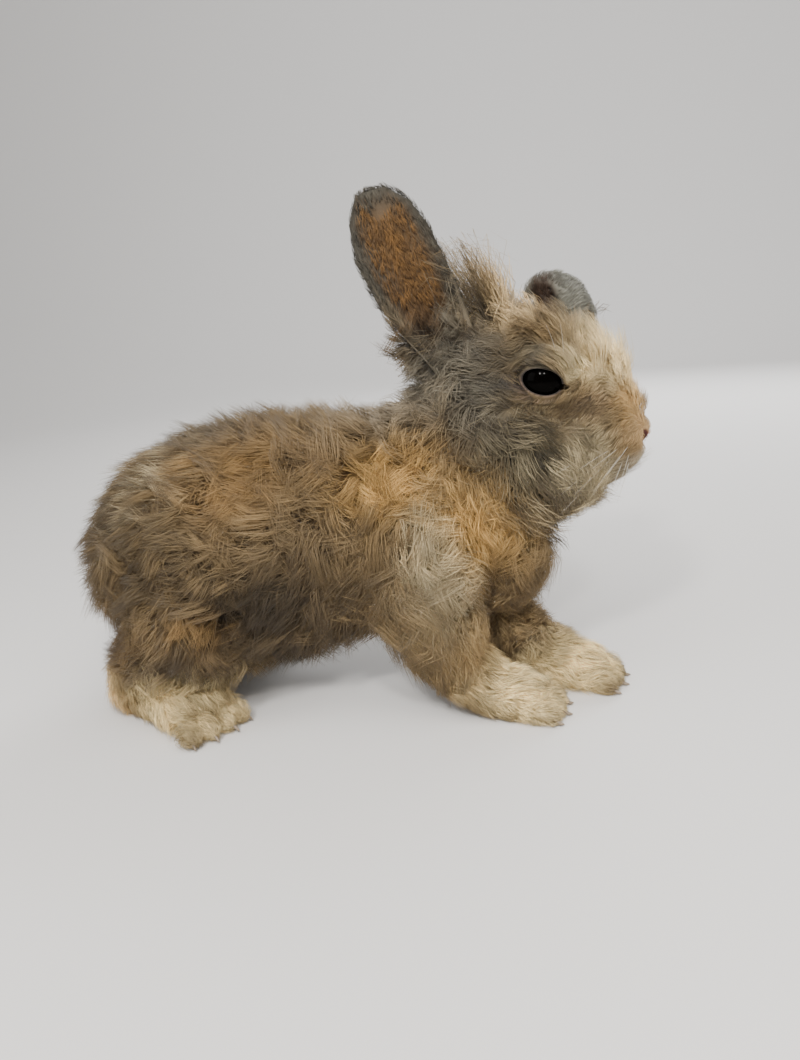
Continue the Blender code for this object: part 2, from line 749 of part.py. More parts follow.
def fit_eye(whole, name, side):
    """Adds the lids round one eye, opens them, and returns the eyeball that they hold."""
    centre = (EYE_CENTRE[0], side * EYE_CENTRE[1], EYE_CENTRE[2])
    pole = (centre[0], centre[1] + side * EYE_RADIUS, centre[2])
    boolean(whole, "UNION", ball("lids", centre, (EYE_RADIUS + LID_THICK,) * 3, segments=18))
    boolean(whole, "DIFFERENCE", ball("opening", pole, EYE_OPENING, (0, EYE_SLANT, 0), 16))
    boolean(whole, "DIFFERENCE", ball("socket", centre, (EYE_RADIUS + GAP,) * 3, segments=12))
    return ball(name, centre, (EYE_RADIUS - EYE_SLACK,) * 3, segments=18)


def carve_mouth(whole):
    """Cuts the nostrils, the split of the upper lip and the line of the mouth."""
    for side in (-1, 1):
        nostril = ball("nostril", (104.6, side * 3.2, 95.8), (2.6, 1.2, 0.8), (side * 35, 25, 0), 12)
        boolean(whole, "DIFFERENCE", nostril)
    boolean(whole, "DIFFERENCE", ball("split", (105.2, 0, 90.5), (2.2, 0.6, 4.6), (0, 10, 0), 12))
    boolean(whole, "DIFFERENCE", ball("mouth", (98.5, 0, 84.8), (8.5, 7.5, 0.7), (0, 8, 0), 14))


def floor_cut(obj):
    """Cuts the soles flat at floor level."""
    floor = slab("floor", (0, 0, -50), (250, 200, 50), (0, 0, 0), 0.0)
    boolean(obj, "DIFFERENCE", floor, "MANIFOLD")


REGIONS = (
    ("ear_right", lambda g: ear_sleeve(EAR_RIGHT, 0.17, g)),
    ("ear_left", lambda g: block("cut", FOLDED_EAR_CUT, 68.5, 100.0, g, "x")),
    ("tail", lambda g: drum("cut", (-123, 3, 53), 17, 20, (1, 0, 0.25), g)),
    ("head", lambda g: block("cut", HEAD_CUT, -80.0, 80.0, g)),
    ("neck", lambda g: block("cut", NECK_CUT, -80.0, 80.0, g)),
    ("forepaw_right", lambda g: slab("cut", (60, -37, 5), (24, 22, 30), (0, -48, 0), g)),
    ("forepaw_left", lambda g: slab("cut", (82, 8, 5), (24, 22, 30), (0, -48, 0), g)),
    ("foreleg_right", lambda g: slab("cut", (30, -44, 20), (34, 30, 32), (0, 0, 0), g)),
    ("foreleg_left", lambda g: slab("cut", (36, 24, 20), (40, 37, 32), (0, 0, 0), g)),
    ("hindfoot_right", lambda g: slab("cut", (-78, -37, 4), (44, 22, 15), (0, 0, -36), g)),
    ("hindfoot_left", lambda g: slab("cut", (-75, 34, 4), (44, 22, 15), (0, 0, 20), g)),
    ("hindleg_right", lambda g: drum("cut", (-74, -48, 44), 42, 30, (0, 1, 0), g)),
    ("hindleg_left", lambda g: drum("cut", (-74, 48, 44), 42, 30, (0, 1, 0), g)),
)


MATERIALS = {
    "head": (("head",), (0.40, 0.33, 0.24), 0.9),
    "ear": (("ear_right", "ear_left"), (0.30, 0.25, 0.19), 0.85),
    "eye": (("eye_right", "eye_left"), (0.01, 0.006, 0.005), 0.05),
    "paw": (("forepaw_right", "forepaw_left", "hindfoot_right", "hindfoot_left"), (0.66, 0.56, 0.42), 0.9),
}
COAT_COLOUR = (0.42, 0.31, 0.20)


def finish(node):
    """Gives a node its own material, smooth shading and its place round the origin."""
    colour, roughness = COAT_COLOUR, 0.9
    for names, other, gloss in MATERIALS.values():
        if node.name in names:
            colour, roughness = other, gloss
    node.data.materials.clear()
    node.data.materials.append(material(node.name, colour, roughness))
    node.data.transform(Matrix.Translation(vec((-BOX_CENTRE_X, -BOX_CENTRE_Y, 0))))
    node.data.shade_smooth()
    node.data.set_sharp_from_angle(angle=math.radians(40))


def build():
    clear_scene()
    whole = fused(joined("torso", body_forms(CORE_SHARE)), BODY_VOXEL, BODY_SMOOTHING, BODY_TRIANGLES)
    locks = coat_locks(whole) + forelock()
    boolean(whole, "UNION", ear("ear_form_right", EAR_RIGHT))
    folded = fused(ear("ear_form_left", EAR_LEFT), EAR_VOXEL, EAR_SMOOTHING, EAR_TRIANGLES)
    boolean(whole, "UNION", folded)
    eyes = [fit_eye(whole, name, side) for name, side in (("eye_right", -1), ("eye_left", 1))]
    carve_mouth(whole)
    grow_coat(whole, locks)
    floor_cut(whole)
    nodes = [part_off(whole, name, region) for name, region in REGIONS]
    keep_largest(whole)
    for node in nodes + [whole] + eyes:
        finish(node)


build()
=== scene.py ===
import math

import bmesh
import bpy
import numpy as np
from mathutils import Matrix, Vector
from mathutils.bvhtree import BVHTree
from mathutils.kdtree import KDTree


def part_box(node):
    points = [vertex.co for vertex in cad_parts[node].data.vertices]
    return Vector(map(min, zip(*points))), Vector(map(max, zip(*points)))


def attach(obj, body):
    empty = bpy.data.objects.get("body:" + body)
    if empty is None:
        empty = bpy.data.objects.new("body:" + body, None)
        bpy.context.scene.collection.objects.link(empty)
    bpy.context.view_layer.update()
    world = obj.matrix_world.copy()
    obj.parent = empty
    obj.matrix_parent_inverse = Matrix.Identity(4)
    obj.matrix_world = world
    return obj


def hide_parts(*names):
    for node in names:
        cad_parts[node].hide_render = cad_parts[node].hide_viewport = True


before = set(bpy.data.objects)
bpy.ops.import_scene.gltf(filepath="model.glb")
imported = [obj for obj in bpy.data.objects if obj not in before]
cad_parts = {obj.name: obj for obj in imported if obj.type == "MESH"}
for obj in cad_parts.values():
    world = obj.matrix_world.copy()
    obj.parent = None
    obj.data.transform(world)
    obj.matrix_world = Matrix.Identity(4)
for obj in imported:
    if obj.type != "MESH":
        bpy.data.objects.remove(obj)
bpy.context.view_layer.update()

MM = 0.001
SEED = 5

# Camera: the photograph's own viewpoint, in metres, with its angles in degrees.
FRAME_HEIGHT = 1060
FOCAL_PIXELS = 830.0
CAMERA_PLACE = (0.0772, -0.3077, 0.149)
CAMERA_HEADING = 12.0
CAMERA_DIP = 15.1
CAMERA_ROLL = 6.16

# The bare skin of the torso in millimetres: place along X, lowest and highest Z, half width.
TORSO_RINGS = (
    (-103, 44, 66, 13),
    (-97, 32, 82, 25),
    (-84, 25, 95, 34),
    (-62, 22, 102, 38),
    (-34, 25, 105, 37),
    (-6, 31, 104, 33),
    (18, 35, 102, 29),
    (38, 42, 104, 25),
    (54, 58, 104, 18),
)
TORSO_WIDEST = 0.45

# The bare skin of the head, in the same terms.
HEAD_RINGS = (
    (36, 96, 120, 12),
    (44, 86, 127, 17.5),
    (56, 79, 131.5, 20.5),
    (68, 76.5, 132.5, 20.5),
    (79, 76.5, 130.5, 17.5),
    (88, 78.5, 126, 14),
    (96, 82.5, 117.5, 10.8),
    (101, 86.5, 109.5, 8.2),
    (104, 90, 102, 5.4),
)
HEAD_WIDEST = 0.42
FACE_SKIN = 1.3

EYE_CENTRE = (70.5, 15.6, 119.2)
EYE_RADIUS = 7.85
LID_THICK = 1.1
SOCKET_ROOM = 0.15
SOLE = 0.4
EYE_OPENING = (7.1, 9, 4.3)
EYE_CORNER = (6.6, -3, -2.6)
EYE_CORNER_SIZE = (2.6, 6, 1.1)
EYE_SLANT = 18

# Centre lines of the limbs: point, half width across, half depth.
FORELEG_RIGHT = (
    ((24, -24, 66), 12, 17),
    ((24, -26, 44), 11, 15),
    ((31, -26.5, 26), 8.5, 11),
    ((41, -26.5, 13.5), 7.5, 7.5),
    ((50, -27, 8), 8, 6),
    ((60, -27.5, 6), 8.5, 5),
)
FORELEG_LEFT = (
    ((30, 20, 66), 12, 17),
    ((34, 17, 46), 11, 15),
    ((46, 8, 28), 8.5, 10),
    ((62, 0.5, 14), 7.5, 7.5),
    ((73, -2.5, 8), 8, 6),
    ((82, -3.5, 6), 8.5, 5),
)
HINDLEG_RIGHT = (
    ((-78, -24, 66), 14, 24),
    ((-62, -32, 48), 14, 22),
    ((-72, -33, 34), 11, 15),
    ((-88, -27, 22), 9, 11),
    ((-101, -20, 12), 8.5, 9),
)
HINDLEG_LEFT = (
    ((-78, 24, 66), 14, 24),
    ((-60, 32, 48), 14, 22),
    ((-70, 33, 34), 11, 15),
    ((-86, 29, 22), 9, 11),
    ((-98, 24, 12), 8.5, 9),
)
HINDFOOT_RIGHT = (
    ((-103, -17.5, 9.5), 7, 9),
    ((-90, -25, 9), 7.5, 8.5),
    ((-75, -34, 8.5), 9, 8),
    ((-64, -40.5, 8), 10, 7.5),
)
HINDFOOT_LEFT = (
    ((-100, 23, 8.5), 7.5, 8),
    ((-86, 28.5, 8), 8, 7.5),
    ((-67, 35.5, 8), 10, 7.5),
    ((-54, 40, 7), 11.5, 7),
)
TAIL_LINE = (
    ((-98, 2, 60), 8, 8),
    ((-108, 2.5, 57), 7.5, 8.5),
    ((-114, 3, 52), 5.5, 7),
)
NECK_LINE = (
    ((22, 0, 82), 22, 24),
    ((40, 0, 94), 19, 22),
    ((56, 0, 102), 17, 20),
)

# Toes: their fan and size as shares of the foot's half width, and their heights as shares of its depth.
FOOT_SKIN = 1
TOE_COUNT = 4
TOE_LENGTH = 10
TOE_FAN = 0.42
TOE_SPREAD = 0.78
TOE_SIZE = 0.27
TOE_ROUNDING = 0.18
TOE_START_RISE = 0.72
TOE_TIP_RISE = 0.55
TOE_DROOP = 0.32
TOE_SKIN = 0.6
# Painted shade between neighbouring toes: its colour and strength.
TOE_GAP_SHADOW = (96, 70, 42)
TOE_GAP_SHADE = 0.85

# Each ear: the middle of its mouth, the way the cup faces, half width, depth and curl each way.
EAR_RIGHT = (
    ((42, -12, 127), (0.55, -0.85, 0.1), 9, 8, 1.7),
    ((36.5, -14.5, 140), (0.45, -0.9, 0.1), 11.5, 9, 1.5),
    ((31, -17.5, 152), (0.35, -0.93, 0.1), 13.5, 7.5, 1.3),
    ((26, -20, 164), (0.25, -0.95, 0.1), 13.5, 6, 1.2),
    ((22, -22, 175), (0.2, -0.97, 0.1), 12, 4, 1.2),
    ((19.6, -23, 182.5), (0.2, -0.97, 0.1), 8, 2, 1.2),
    ((18.4, -23.4, 186.5), (0.2, -0.97, 0.1), 3, 0.8, 1.2),
)
EAR_LEFT = (
    ((64, 10, 122), (-0.8, -0.6, 0.1), 7, 11, 2),
    ((67, 8.5, 131), (-0.62, -0.78, 0), 8, 13.5, 2),
    ((70.5, 11, 139.5), (-0.58, -0.7, -0.35), 9.5, 13.5, 1.9),
    ((77, 20, 143.5), (-0.5, -0.35, -0.8), 10, 9.5, 1.5),
    ((79, 29, 139), (-0.3, -0.9, -0.3), 11.5, 6, 1.3),
    ((79.5, 34.5, 128), (-0.3, -0.95, 0.1), 11, 5, 1.2),
    ((80, 36.5, 116), (-0.3, -0.95, 0.1), 7.5, 2.5, 1.2),
    ((80.3, 37.5, 109), (-0.3, -0.95, 0.1), 2.5, 0.8, 1.2),
)
EAR_THICK = 1.7
EAR_ROWS = 40
EAR_COLUMNS = 24

SKIN_VOXEL = 0.8
SKIN_SMOOTHING = 10
SKIN_TRIANGLES = 70000
FACE_THINNING = 0.25
FOOT_THINNING = 0.6

# The coat by zone: middle, reach, hair length, hair width, rise of the tips and the way it lies.
# A zone off the middle is mirrored to the other side unless it is named for one side.
COAT_ZONES = {
    "nose": ((106, 0, 97), (5, 7, 6), 2.2, 0.17, 0.9, (-0.7, 0, 0.7)),
    "muzzle": ((100, 6, 92), (9, 8, 9), 4, 0.18, 1.6, (-1, 0, -0.45)),
    "bridge": ((102, 0, 108), (7, 10, 7), 5.5, 0.2, 4.2, (-0.55, 0, 1)),
    "face": ((90, 12, 108), (10, 7, 11), 6.5, 0.2, 2.8, (-0.9, 0, -0.35)),
    "forehead": ((95, 0, 122), (9, 14, 9), 10, 0.2, 11.5, (-0.6, 0, 0.9)),
    "forehead_top": ((82, 0, 134), (11, 14, 7), 11, 0.2, 10.5, (-0.75, 0, 0.9)),
    "brow": ((72, 16, 128), (9, 6, 5), 8, 0.19, 4.6, (-0.85, 0, 0.6)),
    "eye_under": ((74, 20, 110), (9, 5, 4), 4.5, 0.2, 1.2, (-0.7, 0, -0.7)),
    "eye_back": ((57, 19, 120), (9, 8, 8), 9, 0.22, 3.6, (-1, 0, 0.05)),
    "forelock": ((52.5, -4, 139), (6.5, 9, 4.5), 13, 0.21, 37, (-0.3, 0, 1)),
    "crown_side": ((60, 15, 134), (14, 6, 6), 9, 0.2, 4.5, (-0.8, 0, 0.5)),
    "crown": ((42, 0, 132), (9, 14, 8), 12, 0.2, 9, (-0.8, 0, 0.5)),
    "ear_base": ((46, -18, 130), (8, 8, 8), 8, 0.17, 4, (-0.6, 0, 0.7)),
    "cheek": ((66, 21, 102), (11, 8, 8), 15, 0.22, 5.5, (0.8, 0, -0.75)),
    "cheek_low": ((77, 18, 86), (11, 9, 10), 23, 0.22, 8, (0.55, 0, -1)),
    "cheek_back": ((50, 25, 96), (10, 9, 12), 17, 0.25, 9, (0.25, 0, -1)),
    "chin": ((93, 0, 80), (9, 9, 6), 4.5, 0.18, 1.4, (-0.8, 0, -0.6)),
    "throat": ((70, 0, 70), (16, 12, 8), 14, 0.25, 8.5, (-0.2, 0, -1)),
    "nape": ((28, 0, 116), (16, 20, 12), 15, 0.22, 12, (-1, 0, -0.1)),
    "neck": ((34, 27, 98), (12, 12, 14), 17, 0.22, 12, (-0.25, 0, -1)),
    "chest": ((58, 0, 56), (14, 24, 16), 18, 0.22, 12, (-0.1, 0, -1)),
    "shoulder": ((22, 34, 78), (22, 14, 16), 15, 0.22, 12, (-0.3, 0, -0.9)),
    "elbow": ((24, 32, 52), (20, 12, 14), 22, 0.22, 11, (0.05, 0, -1)),
    "back": ((-34, 0, 110), (50, 26, 14), 13.5, 0.22, 13, (-1, 0, -0.15)),
    "flank": ((-28, 36, 72), (26, 14, 22), 14.5, 0.22, 13, (-0.8, 0, -0.75)),
    "haunch": ((-72, 36, 66), (24, 14, 24), 13.5, 0.22, 12.5, (-1, 0, -0.5)),
    "rump": ((-100, 10, 72), (14, 24, 22), 13.5, 0.22, 15, (-0.6, 0, -1)),
    "thigh_low": ((-92, 26, 38), (20, 14, 14), 13, 0.22, 10.5, (-0.6, 0, -1)),
    "knee": ((-55, 44, 42), (12, 10, 10), 14, 0.22, 11, (0.1, 0, -1)),
    "belly": ((-22, 30, 32), (34, 12, 12), 20, 0.22, 14, (-0.25, 0, -1)),
    "under": ((-24, 0, 24), (60, 18, 10), 13, 0.3, 8, (-1, 0, 0)),
    "foreleg": ((28, 27, 30), (12, 12, 12), 15, 0.26, 7.5, (0.2, 0, -1)),
    "wrist_right": ((44, -27, 15), (10, 10, 9), 10, 0.25, 4.6, (0.8, 0, -0.6)),
    "paw_right": ((60, -28, 7), (13, 11, 9), 9, 0.16, 4.6, (1, 0, -0.3)),
    "toes_fore_right": ((67, -29, 5), (7, 9, 6), 5.5, 0.16, 2.2, (1, 0, -0.35)),
    "toes_fore_left": ((89, -5, 5), (7, 9, 6), 5.5, 0.16, 2.2, (1, -0.15, -0.35)),
    "toes_hind_right": ((-57, -44, 5), (8, 9, 7), 6, 0.17, 2.8, (0.85, -0.5, -0.35)),
    "toes_hind_left": ((-46, 43, 5), (8, 9, 7), 6, 0.17, 2.8, (0.9, 0.35, -0.35)),
    "foreleg_left": ((46, 8, 28), (11, 11, 12), 12, 0.26, 6, (0.5, -0.3, -0.9)),
    "paw_left": ((78, -3, 8), (16, 11, 9), 9, 0.16, 4.6, (1, -0.2, -0.3)),
    "hock": ((-104, 18, 12), (14, 12, 10), 10, 0.25, 7, (0.9, 0, -0.5)),
    "foot_right": ((-72, -36, 9), (20, 14, 9), 9.5, 0.17, 5, (0.85, -0.5, -0.2)),
    "foot_left": ((-66, 37, 9), (22, 14, 9), 9.5, 0.17, 5, (0.9, 0.35, -0.2)),
    "tail": ((-112, 3, 55), (9, 12, 10), 14, 0.26, 10, (-0.5, 0, -1)),
}
ONE_SIDED = ("_right", "_left")
EAR_COAT = (4.4, 0.18, 1.7)
EAR_BASE_COAT = (7, 0.16, 3.2)
EAR_REACH = 15
EAR_BASE_TOP = 152

# Markings and painted shade as patches: middle, reach, colour as seen (sRGB, 0 to 255) and strength, painted
# in order.
# A pair is painted as it stands and then mirrored.
BASE_COLOUR = (122, 102, 70)
PATCHES = {
    "rump": ((-104, 0, 70), (30, 70, 40), (90, 74, 50), 0.9),
    "haunch_shade": ((-76, -46, 70), (24, 24, 24), (88, 72, 46), 0.8),
    "mid_back": ((-44, -22, 98), (26, 40, 18), (152, 119, 70), 0.85),
    "back_dark": ((-66, 0, 112), (42, 44, 26), (84, 74, 58), 0.85),
    "loin": ((-10, -24, 98), (16, 24, 14), (104, 84, 56), 0.75),
    # Painted shade: the lower flank darker, as in shadow.
    "flank": ((-34, -44, 47), (34, 24, 20), (52, 42, 26), 0.95),
    "shoulder_gold": ((14, -36, 92), (24, 26, 14), (196, 156, 90), 0.95),
    "chest_gold": ((42, -26, 70), (22, 22, 18), (206, 164, 94), 0.95),
    "withers": ((8, 0, 116), (22, 34, 13), (138, 126, 106), 0.85),
    "streak": ((31, -40, 62), (10, 20, 28), (192, 178, 144), 0.85),
    "elbow": ((26, -36, 34), (15, 18, 12), (164, 140, 98), 0.85),
    "far_side": ((0, 44, 70), (90, 26, 50), (150, 122, 82), 0.6),
    # Painted shade: the belly darker underneath, as in shadow.
    "belly": ((-26, 0, 26), (50, 64, 13), (72, 60, 42), 0.9),
    "knee": ((-56, -52, 42), (11, 12, 11), (172, 138, 88), 0.9),
    "thigh_dark_pair": ((-88, -34, 37), (26, 22, 12), (84, 62, 32), 0.95),
    "foot_shade_right": ((-68, -42, 25), (18, 20, 7), (46, 36, 20), 0.9),
    "foot_shade_left": ((-64, 42, 25), (18, 20, 7), (46, 36, 20), 0.9),
    "hock": ((-108, 0, 12), (18, 50, 17), (244, 210, 152), 0.95),
    "foot_right": ((-72, -38, 8), (26, 22, 16), (255, 232, 176), 1),
    "foot_left": ((-66, 38, 8), (26, 22, 16), (255, 232, 176), 1),
    "wrist_right": ((40, -27, 22), (14, 16, 12), (190, 158, 106), 0.9),
    "wrist_left": ((50, 6, 26), (14, 14, 12), (200, 172, 124), 0.9),
    "paw_right": ((58, -28, 7), (20, 18, 13), (255, 232, 176), 1),
    "paw_left": ((78, -3, 8), (22, 18, 14), (255, 232, 176), 1),
    "tail": ((-114, 3, 54), (12, 14, 12), (150, 130, 104), 0.8),
    "nape": ((34, 0, 120), (18, 26, 13), (132, 128, 114), 0.95),
    "cheek_pair": ((62, -26, 94), (20, 18, 24), (78, 70, 50), 1),
    "ruff_pair": ((86, -18, 86), (11, 15, 21), (192, 178, 142), 0.75),
    "jaw": ((88, 0, 73), (12, 22, 8), (150, 134, 104), 0.8),
    "forehead": ((92, 0, 126), (16, 20, 17), (253, 230, 178), 0.95),
    "bridge_gold_pair": ((100, -4, 106), (8, 12, 8), (216, 178, 118), 0.85),
    "muzzle": ((103, 0, 96), (9, 14, 8), (214, 178, 128), 0.9),
    "lip": ((99, 0, 86), (10, 14, 6), (208, 196, 174), 0.95),
    "crown": ((60, 0, 152), (17, 18, 24), (222, 194, 146), 0.95),
    "crown_back": ((42, 0, 134), (12, 20, 10), (142, 128, 104), 0.8),
    "brow_pair": ((68, -20, 128), (13, 9, 6), (92, 84, 66), 0.95),
    "eye_back_pair": ((56, -22, 121), (13, 10, 5), (38, 34, 27), 0.95),
    "tear_pair": ((85, -16, 112), (9, 8, 6), (112, 92, 70), 0.6),
    "eye_spot_right": ((80, -18, 124.5), (6, 8, 4.6), (255, 236, 186), 1),
    "eye_spot_left": ((80, 18, 125), (5, 7, 3.8), (255, 236, 186), 1),
    "neck_grey_pair": ((44, -24, 114), (14, 14, 18), (92, 88, 76), 0.9),
    "ear_base": ((40, -24, 138), (18, 30, 20), (98, 94, 82), 0.95),
    "lop_ear": ((79, 26, 134), (15, 24, 24), (132, 128, 114), 0.95),
}

# Small marks, openings and painted shade of the head and ears, in the same terms.
RUFF_MIDDLE = (70, 20, 90)
RUFF_REACH = (18, 14, 18)
RUFF_PALE = (206, 190, 152)
RUFF_SHARE = 0.36
NOSE_PINK = (196, 112, 92)
NOSTRIL = (70, 22, 14)
NOSTRIL_PLACE = (104.6, 3.8, 95.2)
NOSTRIL_SIZE = (2.3, 1.3, 0.8)
NOSTRIL_BARE = 2.7
MOUTH_PLACE = (98, 0, 84.8)
MOUTH_SIZE = (8.5, 7.2, 0.6)
MOUTH_BARE = 0.8
LIP_SPLIT_PLACE = (104.6, 0, 90.5)
LIP_SPLIT_SIZE = (2.2, 0.5, 4.6)
NOSE_PLACE = (106.4, 0, 94.6)
NOSE_REACH = (2, 3.4, 1.8)
LID_RIM = 1.05
EYE_CLEAR = 1.03
LID_PALE = (160, 132, 116)
LID_DARK = (40, 32, 28)
EAR_INNER = (102, 72, 32)
EAR_ROOT = (40, 30, 18)
EAR_RIM = (62, 58, 48)
LOP_OUTER = (118, 117, 106)
# The lopped ear's inside: its own darker colour, deepened as painted shade of its cup.
LOP_INNER_SHADED = (58, 42, 30)
# Painted shade in the hollow of the lopped ear, in its inner colour.
POCKET_SHADE_PLACE = (71.5, 6, 145)
POCKET_SHADE_REACH = (6.4, 12, 10)

# The tone along a tuft from its root to its tip, as a share of the colour painted there.
LONG_SHADES = (0.4, 0.72, 1.04, 1.45)
SHORT_SHADES = (0.75, 0.98, 1.18)

# The coat pieces: tufts for each square millimetre of skin, and whether they are long enough to bend twice.
COAT_PIECES = {
    "coat_face_right": (4, False),
    "coat_face_left": (3.6, False),
    "coat_crown": (4.4, True),
    "coat_neck_right": (2.6, True),
    "coat_neck_left": (1.7, True),
    "coat_front_right": (3.1, False),
    "coat_front_left": (2.4, False),
    "coat_loin_right": (3.5, False),
    "coat_loin_left": (2.4, False),
    "coat_rump_right": (3.5, False),
    "coat_rump_left": (2.4, False),
    "coat_fore_feet": (4, False),
    "coat_hind_feet": (3.2, False),
    "coat_tail": (1.8, True),
    "coat_ear_right": (2.6, False),
    "coat_ear_left": (2.2, False),
}

# Claws and whiskers, in millimetres.
CLAW_LENGTH = 4.2
CLAW_BEND = 1.4
CLAW_LOWEST = 1.1
CLAW_RADIUS = 0.95
CLAW_POINT = 0.12
CLAW_DEEP = 1.15
CLAW_TURNS = [2 * math.pi * k / 10 for k in range(10)]
HAIR_TURNS = (0, 2.1, 4.2)
WHISKER_COUNT = 12
WHISKER_THICK = 0.16
BROW_HAIR_THICK = 0.14

# The floor in metres: how far it is flat, and the radius of the bend behind.
BOWL_RADIUS = 1.3
BOWL_BEND = 1.6

# A tuft: its place on the unwrap, how far along and how high its bends are, and its width there.
PATCH_SIZE = 0.003
LONG_PATH = ((0.34, 0.5), (0.68, 0.84), (1, 1))
SHORT_PATH = ((0.45, 0.62), (1, 1))
TAPER = (1, 0.74)

# Clumps: the skin under each in square millimetres, how far its tufts close up, and how far they stray.
CLUMP_AREA = 11
CLUMP_PULL = 0.58
STRAY = 0.42
SWAY = 0.17
CLUMP_TURN = 0.55

# The coat is calmer by this share under the cheeks, below this height and where it rises more than this.
CALM = 0.55
FOOT_TOP = 18
FORELOCK_RISE = 16

# How deep tufts root, and the lowest that their bends and surfaces reach and that they grow.
ROOT_DEPTH = 0.6
TUFT_LOWEST = 0.5
COAT_LOWEST = 0.3
SOLE_BARE = 1.2

# How far tufts and whole clumps vary, as shares of the coat's own value.
TUFT_LENGTHS = (0.7, 1.15)
CLUMP_LENGTHS = (0.85, 1.12)
TUFT_RISES = (0.6, 1.12)
CLUMP_RISES = (0.62, 1.22)
TUFT_WIDTHS = (0.8, 1.25)
TUFT_SHADES = (0.74, 1.28)
CLUMP_SHADES = 0.32
RUFF_SHADES = 0.2


def linear(colour):
    """A colour as seen, 0 to 255, as linear values."""
    share = np.asarray(colour, float) / 255.0
    return np.where(share <= 0.04045, share / 12.92, ((share + 0.055) / 1.055) ** 2.4)


def lay(colours, paint, cover):
    """Paints a colour as seen over linear colours, in place, by the share that it covers of each."""
    colours += (linear(paint) - colours) * cover[:, None]


def mirrored(point, side):
    """A point as it stands for side 1, and on the other side of the middle for side -1."""
    return (point[0], side * point[1], point[2])


def unit(vectors):
    return vectors / np.maximum(np.linalg.norm(vectors, axis=1, keepdims=True), 1e-9)


def vec(point):
    """A point in millimetres as a vector in metres."""
    return Vector([float(v) for v in point]) * MM


def spline(rows, share):
    """The value at a share of the way along rows of numbers, on a smooth curve through them all."""
    rows = np.array(rows, float)
    place = min(share, 1.0) * (len(rows) - 1)
    i = min(int(place), len(rows) - 2)
    t = place - i
    before, a, b, after = (rows[min(max(i + k, 0), len(rows) - 1)] for k in (-1, 0, 1, 2))
    return 0.5 * (
        2 * a + (b - before) * t
        + (2 * before - 5 * a + 4 * b - after) * t**2
        + (3 * a - before - 3 * b + after) * t**3
    )


def deselect():
    if bpy.context.object and bpy.context.object.mode != "OBJECT":
        bpy.ops.object.mode_set(mode="OBJECT")
    bpy.ops.object.select_all(action="DESELECT")


def select_only(obj):
    deselect()
    obj.select_set(True)
    bpy.context.view_layer.objects.active = obj


def set_selected(obj, points):
    """Moves the selected vertices, in order, to points in metres, in edit mode."""
    shape = bmesh.from_edit_mesh(obj.data)
    chosen = [v for v in shape.verts if v.select]
    for vertex, point in zip(chosen, points):
        vertex.co = point
    bmesh.update_edit_mesh(obj.data)


def circle(centre, across, up, radius, turns):
    """A ring of points in metres round a centre in millimetres."""
    return [(centre + (across * math.cos(a) + up * math.sin(a)) * radius) * MM for a in turns]


def tube(name, rings):
    """A closed tube: a disc drawn out from ring to ring."""
    deselect()
    bpy.ops.mesh.primitive_circle_add(vertices=len(rings[0]), radius=MM, fill_type="NGON")
    obj = bpy.context.object
    obj.name = name
    bpy.ops.object.mode_set(mode="EDIT")
    bpy.ops.mesh.select_all(action="SELECT")
    set_selected(obj, rings[0])
    for ring in rings[1:]:
        bpy.ops.mesh.extrude_region_move()
        set_selected(obj, ring)
    bpy.ops.mesh.select_all(action="SELECT")
    bpy.ops.mesh.normals_make_consistent(inside=False)
    bpy.ops.object.mode_set(mode="OBJECT")
    return obj


def ball(name, centre, radii, turn=(0.0, 0.0, 0.0), segments=32):
    """An ellipsoid with half axes in millimetres, turned by Euler angles in degrees."""
    deselect()
    bpy.ops.mesh.primitive_uv_sphere_add(
        segments=segments, ring_count=segments // 2, radius=1.0,
        location=vec(centre), rotation=[math.radians(a) for a in turn],
    )
    obj = bpy.context.object
    obj.name = name
    obj.scale = vec(radii)
    bpy.ops.object.transform_apply(location=True, rotation=True, scale=True)
    return obj


def upright_tube(name, stations, widest, grow, count=40, sides=40):
    """A body or head form through its stations, grown by some millimetres."""
    rings = []
    for k in range(count):
        x, low, high, half = spline(stations, k / (count - 1))
        low, high, half = low - grow, high + grow, half + grow
        middle = low + widest * (high - low)
        ring = []
        for j in range(sides):
            angle = 2 * math.pi * j / sides
            reach = high - middle if math.sin(angle) > 0 else middle - low
            ring.append(vec((x, half * math.cos(angle), middle + reach * math.sin(angle))))
        rings.append(ring)
    return tube(name, rings)


def limb(name, joints, grow=0.0, count=16, sides=20):
    """A rounded limb along its joints, each a point, half width across and half depth."""
    rows = [(*point, across, deep) for point, across, deep in joints]
    stations = [spline(rows, k / (count - 1)) for k in range(count)]
    rings = []
    for k, row in enumerate(stations):
        ahead = Vector(stations[min(k + 1, count - 1)][:3]) - Vector(stations[max(k - 1, 0)][:3])
        ahead.normalize()
        across = Vector((0, 0, 1)).cross(ahead)
        across = across.normalized() if across.length > 0.3 else Vector((0, 1, 0))
        deep = ahead.cross(across)
        rings.append((Vector(row[:3]), ahead, across * (row[3] + grow), deep * (row[4] + grow)))
    capped = list(rings)
    for sign, (centre, ahead, across, deep) in ((-1, rings[0]), (1, rings[-1])):
        for share in (0.5, 0.85):
            rise, narrow = math.sin(share * math.pi / 2), math.cos(share * math.pi / 2)
            cap = (centre + ahead * sign * deep.length * 0.8 * rise, ahead, across * narrow, deep * narrow)
            capped = [cap] + capped if sign < 0 else capped + [cap]
    loops = []
    for centre, _, across, deep in capped:
        turns = (2 * math.pi * k / sides for k in range(sides))
        loops.append([(centre + across * math.cos(a) + deep * math.sin(a)) * MM for a in turns])
    return tube(name, loops)


